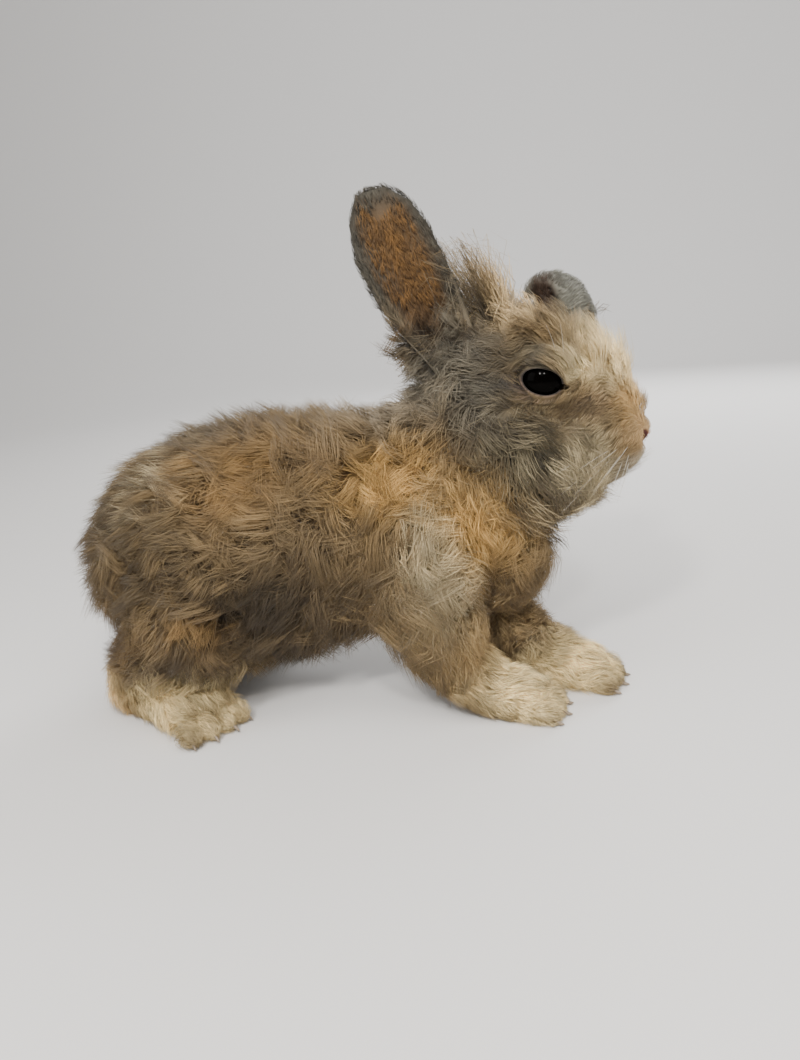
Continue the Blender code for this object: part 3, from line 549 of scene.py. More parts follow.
def ear_frame(stations, share):
    """The place, side and facing directions, half width, depth and curl at a share of an ear's length."""
    rows = [(*point, *face, half, depth, arc) for point, face, half, depth, arc in stations]
    row = spline(rows, share)
    after = spline(rows, min(1.0, share + 0.03))
    before = spline(rows, max(0.0, share - 0.03))
    along = Vector(after[:3] - before[:3]).normalized()
    face = Vector(row[3:6])
    face = (face - along * face.dot(along)).normalized()
    return Vector(row[:3]), along, along.cross(face), face, *row[6:9]


def ear(name, stations):
    """A cupped sheet: a grid shaped row by row, given the ear's thickness."""
    deselect()
    bpy.ops.mesh.primitive_grid_add(x_subdivisions=EAR_COLUMNS, y_subdivisions=EAR_ROWS, size=2.0)
    obj = bpy.context.object
    obj.name = name
    for vertex in obj.data.vertices:
        share, turn = (vertex.co.y + 1) / 2, vertex.co.x
        place, _, side, face, half, depth, arc = ear_frame(stations, share)
        angle = arc * turn
        across = half * math.sin(angle) / math.sin(min(arc, math.pi / 2))
        back = depth * (math.cos(angle) - math.cos(arc)) / (1 - math.cos(arc))
        vertex.co = (place + side * across - face * back) * MM
    thick = obj.modifiers.new("thick", "SOLIDIFY")
    thick.thickness = EAR_THICK * MM
    thick.offset = 0.0
    bpy.ops.object.modifier_apply(modifier="thick")
    return obj


def foot_toes(joints):
    """A foot with rounded toes in a fan at its end, and where each toe ends and points."""
    (before, _, _), (end, half, depth) = joints[-2], joints[-1]
    heading = math.atan2(end[1] - before[1], end[0] - before[0])
    forms, ends = [limb("foot", joints, FOOT_SKIN)], []
    for k in range(TOE_COUNT):
        share = 2 * k / (TOE_COUNT - 1) - 1
        angle = heading + share * TOE_FAN
        aside = share * half * TOE_SPREAD
        reach = TOE_LENGTH * (1 - TOE_ROUNDING * share * share)
        x, y = end[0] - math.sin(heading) * aside, end[1] + math.cos(heading) * aside
        start = (x, y, depth * TOE_START_RISE)
        tip = (x + math.cos(angle) * reach, y + math.sin(angle) * reach, depth * TOE_TIP_RISE)
        size = half * TOE_SIZE
        joint = ((start, size, size * 1.1), (tip, size * 0.85, size * 0.9))
        forms.append(limb("toe", joint, TOE_SKIN, 5, 12))
        ahead = Vector((math.cos(angle), math.sin(angle), -TOE_DROOP))
        ends.append((Vector(tip), ahead, size, Vector(start)))
    return forms, ends


def skin_forms():
    """The overlapping bare forms of the whole rabbit, and the ends of its toes."""
    forms = [
        upright_tube("torso", TORSO_RINGS, TORSO_WIDEST, 0.0),
        upright_tube("head", HEAD_RINGS, HEAD_WIDEST, FACE_SKIN),
        limb("neck", NECK_LINE),
        ball("crown", (58, 0, 128), (22, 17, 10)),
        ball("chest", (50, 0, 58), (14, 18, 20)),
        ball("chin", (90.5, 0, 84.6), (6.2, 6.0, 3.3)),
        ball("nose", (103.2, 0, 97.4), (3.8, 4.4, 4.6)),
        limb("tail", TAIL_LINE),
        ear("ear_right", EAR_RIGHT),
        ear("ear_left", EAR_LEFT),
    ]
    for side in (-1, 1):
        forms += [
            ball(f"cheek_{side}", (67, side * 12, 90), (20, 12, 17), (0, -25, 0)),
            ball(f"lip_{side}", (97, side * 4.5, 90), (5.6, 5.3, 5.4)),
            ball(f"orbit_{side}", (70, side * 13.5, 118.5), (12.4, 8.4, 9.9)),
        ]
    toes = []
    for leg, foot in (
        (FORELEG_RIGHT[:4], FORELEG_RIGHT[3:]),
        (FORELEG_LEFT[:4], FORELEG_LEFT[3:]),
        (HINDLEG_RIGHT, None),
        (HINDLEG_LEFT, None),
        (None, HINDFOOT_RIGHT),
        (None, HINDFOOT_LEFT),
    ):
        if leg:
            forms.append(limb("leg", leg))
        if foot:
            made, ends = foot_toes(foot)
            forms += made
            toes += ends
    return forms, toes


def join(name, objects):
    deselect()
    for obj in objects:
        obj.select_set(True)
    bpy.context.view_layer.objects.active = objects[0]
    bpy.ops.object.join()
    bpy.context.object.name = name
    return bpy.context.object


def coarseness(points):
    """How far the skin may be thinned at each place in millimetres: least on the face."""
    x, z = points[:, 0], points[:, 2]
    return np.where((x > 50) & (z > 74), FACE_THINNING, np.where(z < 16, FOOT_THINNING, 1.0))


def read(items, key, width, kind=float):
    """A property of all of a mesh's items as rows of numbers."""
    flat = np.empty(len(items) * width, kind)
    items.foreach_get(key, flat)
    return flat.reshape(-1, width)


def coordinates(obj):
    """An object's vertices in millimetres."""
    return read(obj.data.vertices, "co", 3) / MM


def apply_all(obj):
    select_only(obj)
    for name in [m.name for m in obj.modifiers]:
        bpy.ops.object.modifier_apply(modifier=name)


def boolean(obj, operation, other):
    """Applies one Boolean and removes the other object."""
    cut = obj.modifiers.new("cut", "BOOLEAN")
    cut.operation = operation
    cut.solver = "MANIFOLD"
    cut.object = other
    apply_all(obj)
    bpy.data.objects.remove(other, do_unlink=True)


def make_skin():
    """The whole skin as one closed surface, with lids, nostrils and mouth, and the ends of the toes."""
    forms, toes = skin_forms()
    skin = join("skin", forms)
    remesh = skin.modifiers.new("fuse", "REMESH")
    remesh.mode = "VOXEL"
    remesh.voxel_size = SKIN_VOXEL * MM
    smooth = skin.modifiers.new("smooth", "SMOOTH")
    smooth.factor = 0.5
    smooth.iterations = SKIN_SMOOTHING
    apply_all(skin)
    coarse = skin.vertex_groups.new(name="coarse")
    weights = coarseness(coordinates(skin))
    for weight in np.unique(weights):
        coarse.add(np.flatnonzero(weights == weight).tolist(), float(weight), "REPLACE")
    thin = skin.modifiers.new("thin", "DECIMATE")
    thin.ratio = SKIN_TRIANGLES / (2 * len(skin.data.polygons))
    thin.vertex_group = "coarse"
    apply_all(skin)
    for side in (-1, 1):
        open_eye(skin, side)
        nostril = ball("nostril", mirrored(NOSTRIL_PLACE, side), NOSTRIL_SIZE, (side * 35, 25, 0), 16)
        boolean(skin, "DIFFERENCE", nostril)
    boolean(skin, "DIFFERENCE", ball("split", LIP_SPLIT_PLACE, LIP_SPLIT_SIZE, (0, 10, 0), 16))
    boolean(skin, "DIFFERENCE", ball("mouth", MOUTH_PLACE, MOUTH_SIZE, (0, 8, 0), 24))
    boolean(skin, "DIFFERENCE", floor_block())
    skin.vertex_groups.clear()
    set_order(skin)
    select_only(skin)
    bpy.ops.object.shade_smooth()
    return skin, toes


def set_order(obj):
    """Puts vertices, faces and corners in one order, since Booleans may number them anew each run."""
    points = np.array([vertex.co for vertex in obj.data.vertices])
    order = np.lexsort(points.T)
    rank = np.argsort(order)
    faces = []
    for polygon in obj.data.polygons:
        corners = [int(rank[v]) for v in polygon.vertices]
        first = corners.index(min(corners))
        faces.append(corners[first:] + corners[:first])
    mesh = bpy.data.meshes.new(obj.name)
    mesh.from_pydata(points[order].tolist(), [], sorted(faces))
    mesh.update()
    obj.data = mesh


def floor_block():
    """A block whose top stands a hair above the floor, to cut the soles flat."""
    deselect()
    bpy.ops.mesh.primitive_cube_add(size=1.0, location=vec((0, 0, SOLE - 25)), scale=vec((500, 400, 50)))
    return bpy.context.object


def open_eye(skin, side):
    """Adds the lids round one eye and opens them."""
    centre = mirrored(EYE_CENTRE, side)
    pole = (centre[0], centre[1] + side * EYE_RADIUS, centre[2])
    boolean(skin, "UNION", ball("lids", centre, (EYE_RADIUS + LID_THICK,) * 3, segments=64))
    boolean(skin, "DIFFERENCE", ball("opening", pole, EYE_OPENING, (0, EYE_SLANT, 0), 48))
    corner = (pole[0] + EYE_CORNER[0], pole[1] + side * EYE_CORNER[1], pole[2] + EYE_CORNER[2])
    boolean(skin, "DIFFERENCE", ball("corner", corner, EYE_CORNER_SIZE, (0, EYE_SLANT, 0), 24))
    boolean(skin, "DIFFERENCE", ball("socket", centre, (EYE_RADIUS + SOCKET_ROOM,) * 3, segments=48))


def swirl(points, wavelength, seed):
    """A smooth field of vectors, about one unit long, that turns over the wavelength in millimetres."""
    draw = np.random.default_rng(seed)
    total = np.zeros_like(points)
    for _ in range(6):
        wave = draw.normal(size=(3, 3)) / wavelength * 2.2
        total += np.sin(points @ wave + draw.uniform(0, 2 * math.pi, 3))
    return total / 2.4


def ear_lines():
    """Points and directions along the two ears."""
    lines = []
    for stations in (EAR_RIGHT, EAR_LEFT):
        frames = [ear_frame(stations, k / 24) for k in range(25)]
        middles = [place - face * depth * 0.5 for place, _, _, face, _, depth, _ in frames]
        alongs, sides, facings = (np.array([f[k] for f in frames]) for k in (1, 2, 3))
        lines.append((np.array(middles), alongs, facings, sides, np.array([f[4] for f in frames])))
    return lines


def near_line(points, line):
    """How far each point is from a line of points, and which of them is nearest."""
    gaps = np.linalg.norm(points[:, None, :] - line[None, :, :], axis=2)
    return gaps.min(axis=1), gaps.argmin(axis=1)


EAR_LINES = ear_lines()


def which_ear(points):
    """-1 on the right ear, 1 on the lopped left ear and 0 elsewhere."""
    found = np.zeros(len(points), int)
    x, y, z = points.T
    gap, _ = near_line(points, EAR_LINES[0][0])
    found[(gap < EAR_REACH) & (z > 136) & (y < -6) & (x < 56)] = -1
    gap, _ = near_line(points, EAR_LINES[1][0])
    found[(gap < EAR_REACH) & ((z > 138.5) | ((y > 27) & (z > 104))) & (y > -2) & (x > 60)] = 1
    return found


def piece_names(points):
    """The coat piece that each place on the skin belongs to."""
    x, y, z = points.T
    which = which_ear(points)
    low, behind = z < 19, x < -104
    names = np.full(len(points), "", "U24")
    for name, region in (
        ("loin_{}", np.ones(len(points), bool)),
        ("rump_{}", x < -60),
        ("front_{}", x > -22),
        ("neck_{}", (z > 58 + (62 - x) * 0.8) & (x > 24)),
        ("fore_feet", low & (x > 10)),
        ("hind_feet", (low & (x < -40)) | behind),
        ("tail", behind & (z > 34)),
        ("face_{}", (x > 62) & (z > 72) & (z > 88 - (x - 62) * 0.9)),
        ("crown", (z > 131) & (x < 86)),
        ("ear_right", which == -1),
        ("ear_left", which == 1),
    ):
        for side, half in (("right", y < 0), ("left", y >= 0)):
            names[region & half] = "coat_" + name.format(side)
    return names


def coat_field(points):
    """The length, width, rise and lie of the coat at each place, mixed from the zones near it."""
    x, y, z = points.T
    total = np.zeros(len(points))
    values = np.zeros((len(points), 6))
    for name, (middle, reach, length, width, rise, lie) in COAT_ZONES.items():
        one_sided = name.endswith(ONE_SIDED)
        side = y if one_sided or middle[1] == 0 else np.abs(y)
        away = ((x - middle[0]) / reach[0]) ** 2 + ((side - middle[1]) / reach[1]) ** 2
        away += ((z - middle[2]) / reach[2]) ** 2
        weight = 1.0 / (0.15 + away) ** 3
        total += weight
        values += weight[:, None] * np.array((length, width, rise, *lie))
    values /= total[:, None]
    which = which_ear(points)
    for number, (line, along, *_) in zip((-1, 1), EAR_LINES):
        chosen = which == number
        if chosen.any():
            _, nearest = near_line(points[chosen], line)
            base = np.clip((EAR_BASE_TOP - points[chosen, 2]) / 14.0, 0, 1)[:, None] * (number == -1)
            values[chosen, :3] = np.array(EAR_COAT) * (1 - base) + np.array(EAR_BASE_COAT) * base
            values[chosen, 3:] = along[nearest]
    return values[:, 0], values[:, 1], values[:, 2], unit(values[:, 3:])


def markings(points, normals):
    """The colour of the coat at each place, as linear values, from the named patches, with painted shade in
    some patches, between the toes and in the hollow of the lopped ear.
    """
    wander = points + swirl(points, 22.0, 3) * 2.4 + swirl(points, 7.0, 4) * 1.1
    colour = np.tile(linear(BASE_COLOUR), (len(points), 1))
    for name, (middle, reach, paint, strength) in PATCHES.items():
        for side in (1, -1) if name.endswith("_pair") else (1,):
            away = np.sqrt((((wander - mirrored(middle, side)) / reach) ** 2).sum(axis=1))
            lay(colour, paint, strength * np.clip((1.25 - away) / 0.75, 0, 1) ** 1.3)
    which = which_ear(points)
    for number, (line, _, facing, sides, halves) in zip((-1, 1), EAR_LINES):
        chosen = which == number
        if not chosen.any():
            continue
        _, nearest = near_line(points[chosen], line)
        inner = np.clip((normals[chosen] * facing[nearest]).sum(axis=1) * 2.0, 0, 1)
        if number == -1:
            across = np.abs(((points[chosen] - line[nearest]) * sides[nearest]).sum(axis=1)) / halves[nearest]
            inner *= np.clip((0.86 - across) / 0.22, 0, 1) * np.clip((183.0 - points[chosen, 2]) / 5.0, 0, 1)
            outer = linear(EAR_RIM)
            height = np.clip((points[chosen, 2] - 136.0) / 14.0, 0, 1)[:, None]
            paint = linear(EAR_ROOT) + (linear(EAR_INNER) - linear(EAR_ROOT)) * height
            outer = colour[chosen] + (outer - colour[chosen]) * height
        else:
            # The lopped ear's inside takes its inner colour, deepened as painted shade of its cup.
            paint, outer = linear(LOP_INNER_SHADED), linear(LOP_OUTER)
        colour[chosen] = outer + (paint - outer) * inner[:, None]
    # Painted shade in the hollow of the lopped ear.
    pocket_shade = np.linalg.norm((points - POCKET_SHADE_PLACE) / POCKET_SHADE_REACH, axis=1)
    lay(colour, LOP_INNER_SHADED, np.clip(2.2 - 2.0 * pocket_shade, 0, 1))
    # Painted shade between the toes.
    lay(colour, TOE_GAP_SHADOW, toe_gaps(points) * TOE_GAP_SHADE)
    for side in (-1, 1):
        paint_lids(points, colour, side)
    nose = np.linalg.norm((points - NOSE_PLACE) / NOSE_REACH, axis=1)
    lay(colour, NOSE_PINK, np.clip(1.5 - nose, 0, 1))
    for side in (-1, 1):
        lay(colour, NOSTRIL, np.clip(3.1 - from_nostril(points, side), 0, 1))
    return colour


def from_nostril(points, side):
    """How far each place is from one nostril, in millimetres."""
    return np.linalg.norm(points - mirrored(NOSTRIL_PLACE, side), axis=1)


def toe_gaps(points):
    """How deep each place lies between two neighbouring toes, from 0 to 1, as the share of painted shade
    there.
    """
    shade = np.zeros(len(points))
    for foot in range(0, len(toes), TOE_COUNT):
        reaches = []
        for tip, _, size, start in toes[foot:foot + TOE_COUNT]:
            line = np.array([start.lerp(tip, k / 6) for k in range(7)])[:, :2]
            reaches.append(np.linalg.norm(points[:, None, :2] - line[None], axis=2).min(axis=1) / size)
        nearest = np.sort(np.array(reaches), axis=0)
        between = np.clip(1.0 - (nearest[1] - nearest[0]) / 0.55, 0, 1)
        shade = np.maximum(shade, between * np.clip(2.4 - nearest[0], 0, 1))
    return shade * (points[:, 2] < 20)


def lid_place(points, side):
    """How far each place is from the middle of one eye's opening, in openings, along and across its slant."""
    away = points - mirrored(EYE_CENTRE, side)
    slant = math.radians(EYE_SLANT)
    along = away[:, 0] * math.cos(slant) - away[:, 2] * math.sin(slant)
    height = away[:, 2] * math.cos(slant) + away[:, 0] * math.sin(slant)
    share = np.hypot(along / EYE_OPENING[0], height / EYE_OPENING[2])
    share[away[:, 1] * side < 0] = 99.0
    share[np.linalg.norm(away, axis=1) > EYE_RADIUS + 6.0] = 99.0
    return share, along, height


def paint_lids(points, colour, side):
    """The bare rim of one eye: dark above and in front, pale below and behind."""
    share, along, height = lid_place(points, side)
    rim = np.clip((LID_RIM + 0.1 - share) / 0.15, 0, 1)[:, None]
    pale = (np.clip(-0.3 - height / 2.2 - along / 22.0, 0, 1) * np.clip((share - 1.0) / 0.08, 0, 1))[:, None]
    paint = linear(LID_DARK) + (linear(LID_PALE) - linear(LID_DARK)) * pale
    colour += (paint - colour) * rim


def set_colours(obj, colours):
    """Keeps the colour of each vertex, marking colours and painted shade, in the colour attribute that the
    material reads.
    """
    layer = obj.data.color_attributes.new("MarkingAndShade", "FLOAT_COLOR", "POINT")
    layer.data.foreach_set("color", np.column_stack([colours, np.ones(len(colours))]).ravel())


def skin_patches(skin):
    """For each coat piece, the part of the skin that carries it, with an unwrap of its own."""
    names = piece_names(read(skin.data.polygons, "center", 3) / MM)
    patches = {}
    for name in COAT_PIECES:
        patch = skin.copy()
        patch.data = skin.data.copy()
        bpy.context.scene.collection.objects.link(patch)
        shape = bmesh.new()
        shape.from_mesh(patch.data)
        shape.faces.ensure_lookup_table()
        others = [shape.faces[i] for i in np.flatnonzero(names != name)]
        bmesh.ops.delete(shape, geom=others, context="FACES")
        bmesh.ops.triangulate(shape, faces=shape.faces)
        shape.to_mesh(patch.data)
        shape.free()
        select_only(patch)
        bpy.ops.object.mode_set(mode="EDIT")
        bpy.ops.mesh.select_all(action="SELECT")
        bpy.ops.uv.smart_project(angle_limit=math.radians(66), island_margin=0.004)
        bpy.ops.object.mode_set(mode="OBJECT")
        patches[name] = patch
    return patches


def scatter(patch, skin_normals, density, draw):
    """Roots spread evenly over a patch, with the surface's direction and place on the unwrap."""
    corners = read(patch.data.polygons, "vertices", 3, int)
    points = coordinates(patch)
    normals = skin_normals(points)
    uv = read(patch.data.uv_layers.active.data, "uv", 2).reshape(-1, 3, 2)
    a, b, c = (points[corners[:, k]] for k in range(3))
    areas = np.linalg.norm(np.cross(b - a, c - a), axis=1) / 2
    count = int(areas.sum() * density)
    steps = (np.arange(count) + draw.random(count)) / count
    chosen = np.searchsorted(np.cumsum(areas) / areas.sum(), steps)
    chosen = np.minimum(chosen, len(areas) - 1)
    first, second = draw.random(count), draw.random(count)
    flip = first + second > 1
    first[flip], second[flip] = 1 - first[flip], 1 - second[flip]
    shares = np.column_stack([1 - first - second, first, second])[:, :, None]
    roots = (points[corners[chosen]] * shares).sum(axis=1)
    facing = unit((normals[corners[chosen]] * shares).sum(axis=1))
    return roots, facing, (uv[chosen] * shares).sum(axis=1)


def nearest_on(tree, points):
    """The nearest places on the skin, with the directions that it faces there."""
    places, facings = np.empty_like(points), np.empty_like(points)
    for k, point in enumerate(points):
        place, facing, *_ = tree.find_nearest(Vector(point * MM))
        places[k], facings[k] = place / MM, facing
    return places, facings


def laid(lie, facing, points, loose):
    """The lie of the coat turned along the surface, with some wandering."""
    lie = lie + swirl(points, 26.0, 7) * 0.3 * loose + swirl(points, 9.0, 8) * 0.3 * loose
    lie = lie - facing * (lie * facing).sum(axis=1)[:, None]
    return unit(lie)


def clump_leaders(roots, density, draw):
    """For each tuft, the one in its clump that the others lean towards."""
    leaders = draw.permutation(len(roots))[: max(1, int(len(roots) / (density * CLUMP_AREA)))]
    tree = KDTree(len(leaders))
    for k, leader in enumerate(leaders):
        tree.insert(Vector(roots[leader]), k)
    tree.balance()
    return np.array([leaders[tree.find(Vector(root))[1]] for root in roots])


def tuft_paths(tree, roots, facing, path, density, draw):
    """The places along each tuft from its root to its tip, with its width and the surface's direction."""
    length, width, rise, lie = coat_field(roots)
    leaders = clump_leaders(roots, density, draw)
    loose = (np.clip((length - 3.0) / 10.0, 0.2, 1.0) * (1.0 - CALM * near_ruff(roots)))[:, None]
    calm = (roots[:, 2] < FOOT_TOP) | (rise > FORELOCK_RISE)
    loose = loose * np.where(calm, CALM, 1.0)[:, None]
    count = len(roots)
    length = length * draw.uniform(*TUFT_LENGTHS, count) * draw.uniform(*CLUMP_LENGTHS, count)[leaders]
    rise = rise * draw.uniform(*TUFT_RISES, count) * draw.uniform(*CLUMP_RISES, count)[leaders]
    width = width * draw.uniform(*TUFT_WIDTHS, count)
    turn = draw.normal(size=(count, 3))[leaders] * CLUMP_TURN + draw.normal(size=(count, 3)) * STRAY
    turn *= loose
    phase = draw.uniform(0, 2 * math.pi, count)[leaders] + draw.normal(size=count) * 0.5
    spots, facings, reached = [roots - facing * ROOT_DEPTH], [facing], 0.0
    here, ahead = roots, laid(lie + turn, facing, roots, loose)
    for share, height in path:
        here, facing = nearest_on(tree, here + ahead * (length * (share - reached))[:, None])
        side = np.cross(ahead, facing)
        sway = np.sin(phase + share * 5.0)[:, None] * loose * length[:, None] * SWAY
        spots.append(here + facing * (rise * height)[:, None] + side * sway)
        facings.append(facing)
        reached = share
        ahead = laid(coat_field(here)[3] + turn, facing, here, loose)
    for (share, _), k in zip(path, range(1, len(spots))):
        spots[k] = spots[k] + (spots[k][leaders] - spots[k]) * (CLUMP_PULL * share**1.4 * loose)
        spots[k][:, 2] = np.maximum(spots[k][:, 2], TUFT_LOWEST)
    clear_eyes(spots)
    return spots, facings, width, leaders


def clear_eyes(spots):
    """Draws in the tufts that would lie across an eye."""
    for _ in range(5):
        across = np.zeros(len(spots[0]), bool)
        for side in (-1, 1):
            for spot in spots[1:]:
                across |= lid_place(spot, side)[0] < EYE_CLEAR
        for k in range(1, len(spots)):
            spots[k][across] = spots[0][across] + (spots[k][across] - spots[0][across]) * 0.62


def tuft_mesh(name, spots, facings, width, uv, colours):
    """Closed three-sided tufts, pointed at both ends, as one mesh, each with a small place on the unwrap."""
    count, rings = len(uv), len(spots) - 2
    size = 3 * rings + 2
    points = np.empty((count, size, 3))
    maps = np.empty((count, size, 2))
    for k in range(rings):
        ahead = unit(spots[k + 2] - spots[k])
        side = unit(np.cross(ahead, facings[k + 1]))
        up = np.cross(side, ahead)
        half = (width * TAPER[k] / 2)[:, None]
        for j, (across, rise) in enumerate(((-1.0, -0.35), (0.0, 0.6), (1.0, -0.35))):
            points[:, 3 * k + j] = spots[k + 1] + (side * across + up * rise) * half
            maps[:, 3 * k + j] = uv + np.array(((j - 1) * 0.5, (k + 1) / (rings + 1) - 0.5)) * PATCH_SIZE
    for end, spot, reach in ((size - 2, spots[0], -0.5), (size - 1, spots[-1], 0.5)):
        points[:, end] = spot
        maps[:, end] = uv + np.array((0.0, reach)) * PATCH_SIZE
    points[:, :, 2] = np.maximum(points[:, :, 2], COAT_LOWEST)
    shape = [((j + 1) % 3, j, size - 2) for j in range(3)]
    shape = [tuple(reversed(face)) for face in shape]
    for base in range(0, 3 * (rings - 1), 3):
        shape += [(base + (j + 1) % 3, base + j, base + 3 + j, base + 3 + (j + 1) % 3) for j in range(3)]
    last = 3 * (rings - 1)
    shape += [(last + (j + 1) % 3, last + j, size - 1) for j in range(3)]
    loops = np.array([v for face in shape for v in face])
    sizes = np.array([len(face) for face in shape])
    starts = np.concatenate([[0], np.cumsum(sizes)[:-1]])
    mesh = bpy.data.meshes.new(name)
    mesh.vertices.add(count * size)
    mesh.vertices.foreach_set("co", (points * MM).ravel())
    mesh.loops.add(count * len(loops))
    corners = (np.arange(count)[:, None] * size + loops).ravel()
    mesh.loops.foreach_set("vertex_index", corners.astype(np.int32))
    mesh.polygons.add(count * len(shape))
    first = (np.arange(count)[:, None] * len(loops) + starts).ravel()
    mesh.polygons.foreach_set("loop_start", first.astype(np.int32))
    layer = mesh.uv_layers.new(name="OFBake")
    layer.data.foreach_set("uv", maps.reshape(-1, 2)[corners].ravel())
    mesh.update(calc_edges=True)
    obj = bpy.data.objects.new(name, mesh)
    bpy.context.scene.collection.objects.link(obj)
    set_colours(obj, colours)
    return obj


def tuft_colours(spots, facings, leaders, draw):
    """The marking colours and painted shade along each tuft, darker at the root, with some clumps and tufts
    lighter than others.
    """
    roots, rings, count = spots[0], len(spots) - 2, len(spots[0])
    base, outer = markings(roots, facings[0]), markings(spots[-1], facings[0])
    on_ear = which_ear(roots) != 0
    outer[on_ear] = base[on_ear]
    ruff = near_ruff(roots)
    clump = 1.0 + draw.uniform(-1.0, 1.0, count)[leaders] * (CLUMP_SHADES + RUFF_SHADES * ruff)
    single = draw.uniform(*TUFT_SHADES, count)
    streak = (draw.random(count)[leaders] < RUFF_SHARE) * ruff * draw.uniform(0.5, 1.0, count)
    lay(outer, RUFF_PALE, streak)
    tones = LONG_SHADES if rings > 1 else SHORT_SHADES
    places = [k + 1 for k in range(rings) for _ in range(3)] + [0, rings + 1]
    shades = np.array([tones[k] for k in places])[None, :, None]
    along = np.array([k / (rings + 1) for k in places])[None, :, None]
    mixed = base[:, None, :] + (outer - base)[:, None, :] * along
    return (mixed * shades * (clump * single)[:, None, None]).reshape(-1, 3)


def near_ruff(points):
    """How near each place is to the streaked ruff under the cheeks, from 0 to 1."""
    away = (np.abs(points) - RUFF_MIDDLE) / RUFF_REACH
    return np.exp(-(away**2).sum(axis=1))


def make_coat(skin, paint):
    """The coat in pieces, each grown from its own patch of the skin."""
    tree = BVHTree.FromObject(skin, bpy.context.evaluated_depsgraph_get())
    places, normals = coordinates(skin), read(skin.data.vertices, "normal", 3)
    finder = KDTree(len(places))
    for k, place in enumerate(places):
        finder.insert(Vector(place), k)
    finder.balance()

    def skin_normals(points):
        return normals[[finder.find(Vector(point))[1] for point in points]]

    pieces = []
    for number, (name, patch) in enumerate(skin_patches(skin).items()):
        draw = np.random.default_rng(SEED + number)
        density, long = COAT_PIECES[name]
        path = LONG_PATH if long else SHORT_PATH
        roots, facing, uv = scatter(patch, skin_normals, density, draw)
        keep = bare_places(roots)
        roots, facing, uv = roots[keep], facing[keep], uv[keep]
        spots, facings, width, leaders = tuft_paths(tree, roots, facing, path, density, draw)
        colours = tuft_colours(spots, facings, leaders, draw)
        piece = tuft_mesh(name, spots, facings, width, uv, colours)
        piece.data.materials.append(paint)
        pieces.append(piece)
        bpy.data.objects.remove(patch, do_unlink=True)
        print(name, len(roots), "tufts,", len(roots) * (6 * len(path) - 6), "triangles")
    return pieces


def bare_places(points):
    """Which places carry hair: not the eyeballs' lids, the nostrils or the soles."""
    keep = points[:, 2] > SOLE_BARE
    for side in (-1, 1):
        keep &= lid_place(points, side)[0] > LID_RIM
        keep &= from_nostril(points, side) > NOSTRIL_BARE
    keep &= ~((np.abs(points[:, 2] - MOUTH_PLACE[2]) < MOUTH_BARE) & (points[:, 0] > 90))
    return keep


def principled(name, colour, roughness, sheen=0.0):
    made = bpy.data.materials.new(name)
    made.use_nodes = True
    shader = made.node_tree.nodes["Principled BSDF"]
    shader.inputs["Base Color"].default_value = (*colour, 1.0)
    shader.inputs["Roughness"].default_value = roughness
    shader.inputs["Sheen Weight"].default_value = sheen
    return made, shader


def marked(name, roughness, sheen, shade=1.0):
    """A material that takes its colour, marking colours and painted shade, from the colour attribute."""
    made, shader = principled(name, (0.5, 0.4, 0.3), roughness, sheen)
    nodes, links = made.node_tree.nodes, made.node_tree.links
    marking = nodes.new("ShaderNodeAttribute")
    marking.attribute_name = "MarkingAndShade"
    dim = nodes.new("ShaderNodeVectorMath")
    dim.operation = "SCALE"
    dim.inputs["Scale"].default_value = shade
    links.new(marking.outputs["Color"], dim.inputs[0])
    links.new(dim.outputs["Vector"], shader.inputs["Base Color"])
    return made, shader


def skin_material():
    """Close short fur: the marking colours and painted shade with a fine bump."""
    made, shader = marked("skin_fur", 0.85, 0.0, 0.8)
    nodes, links = made.node_tree.nodes, made.node_tree.links
    place = nodes.new("ShaderNodeTexCoord")
    grain = nodes.new("ShaderNodeTexNoise")
    grain.inputs["Scale"].default_value = 1600.0
    grain.inputs["Detail"].default_value = 3.0
    bump = nodes.new("ShaderNodeBump")
    bump.inputs["Strength"].default_value = 0.5
    bump.inputs["Distance"].default_value = 0.4 * MM
    links.new(place.outputs["Object"], grain.inputs["Vector"])
    links.new(grain.outputs["Fac"], bump.inputs["Height"])
    links.new(bump.outputs["Normal"], shader.inputs["Normal"])
    return made


def make_eyes():
    """Two dark glossy eyeballs in their sockets."""
    dark, shader = principled("eye_gloss", (0.0008, 0.0006, 0.0005), 0.03)
    shader.inputs["IOR"].default_value = 1.36
    shader.inputs["Specular IOR Level"].default_value = 0.045
    eyes = []
    for side, name in ((-1, "eyeball_right"), (1, "eyeball_left")):
        eye = ball(name, mirrored(EYE_CENTRE, side), (EYE_RADIUS,) * 3, segments=64)
        bpy.ops.object.shade_smooth()
        eye.data.materials.append(dark)
        eyes.append(eye)
    return eyes


def make_claws(toes):
    """A short curved claw at the end of each toe."""
    horn, _ = principled("claw_horn", (0.22, 0.17, 0.12), 0.4)
    claws = []
    for k, (tip, ahead, size, _) in enumerate(toes):
        rings = []
        for step in range(7):
            share = step / 6
            place = tip + ahead * (size * 0.5 + CLAW_LENGTH * share)
            place -= Vector((0, 0, CLAW_BEND * share * share))
            place.z = max(place.z, CLAW_LOWEST)
            across = Vector((-ahead.y, ahead.x, 0)).normalized()
            radius = CLAW_RADIUS * (1 - share) ** 0.6 + CLAW_POINT
            rings.append(circle(place, across, Vector((0, 0, CLAW_DEEP)), radius, CLAW_TURNS))
        claws.append(tube(f"claw_{k}", rings))
    claws = join("claws", claws)
    bpy.ops.object.shade_smooth()
    claws.data.materials.append(horn)
    return claws


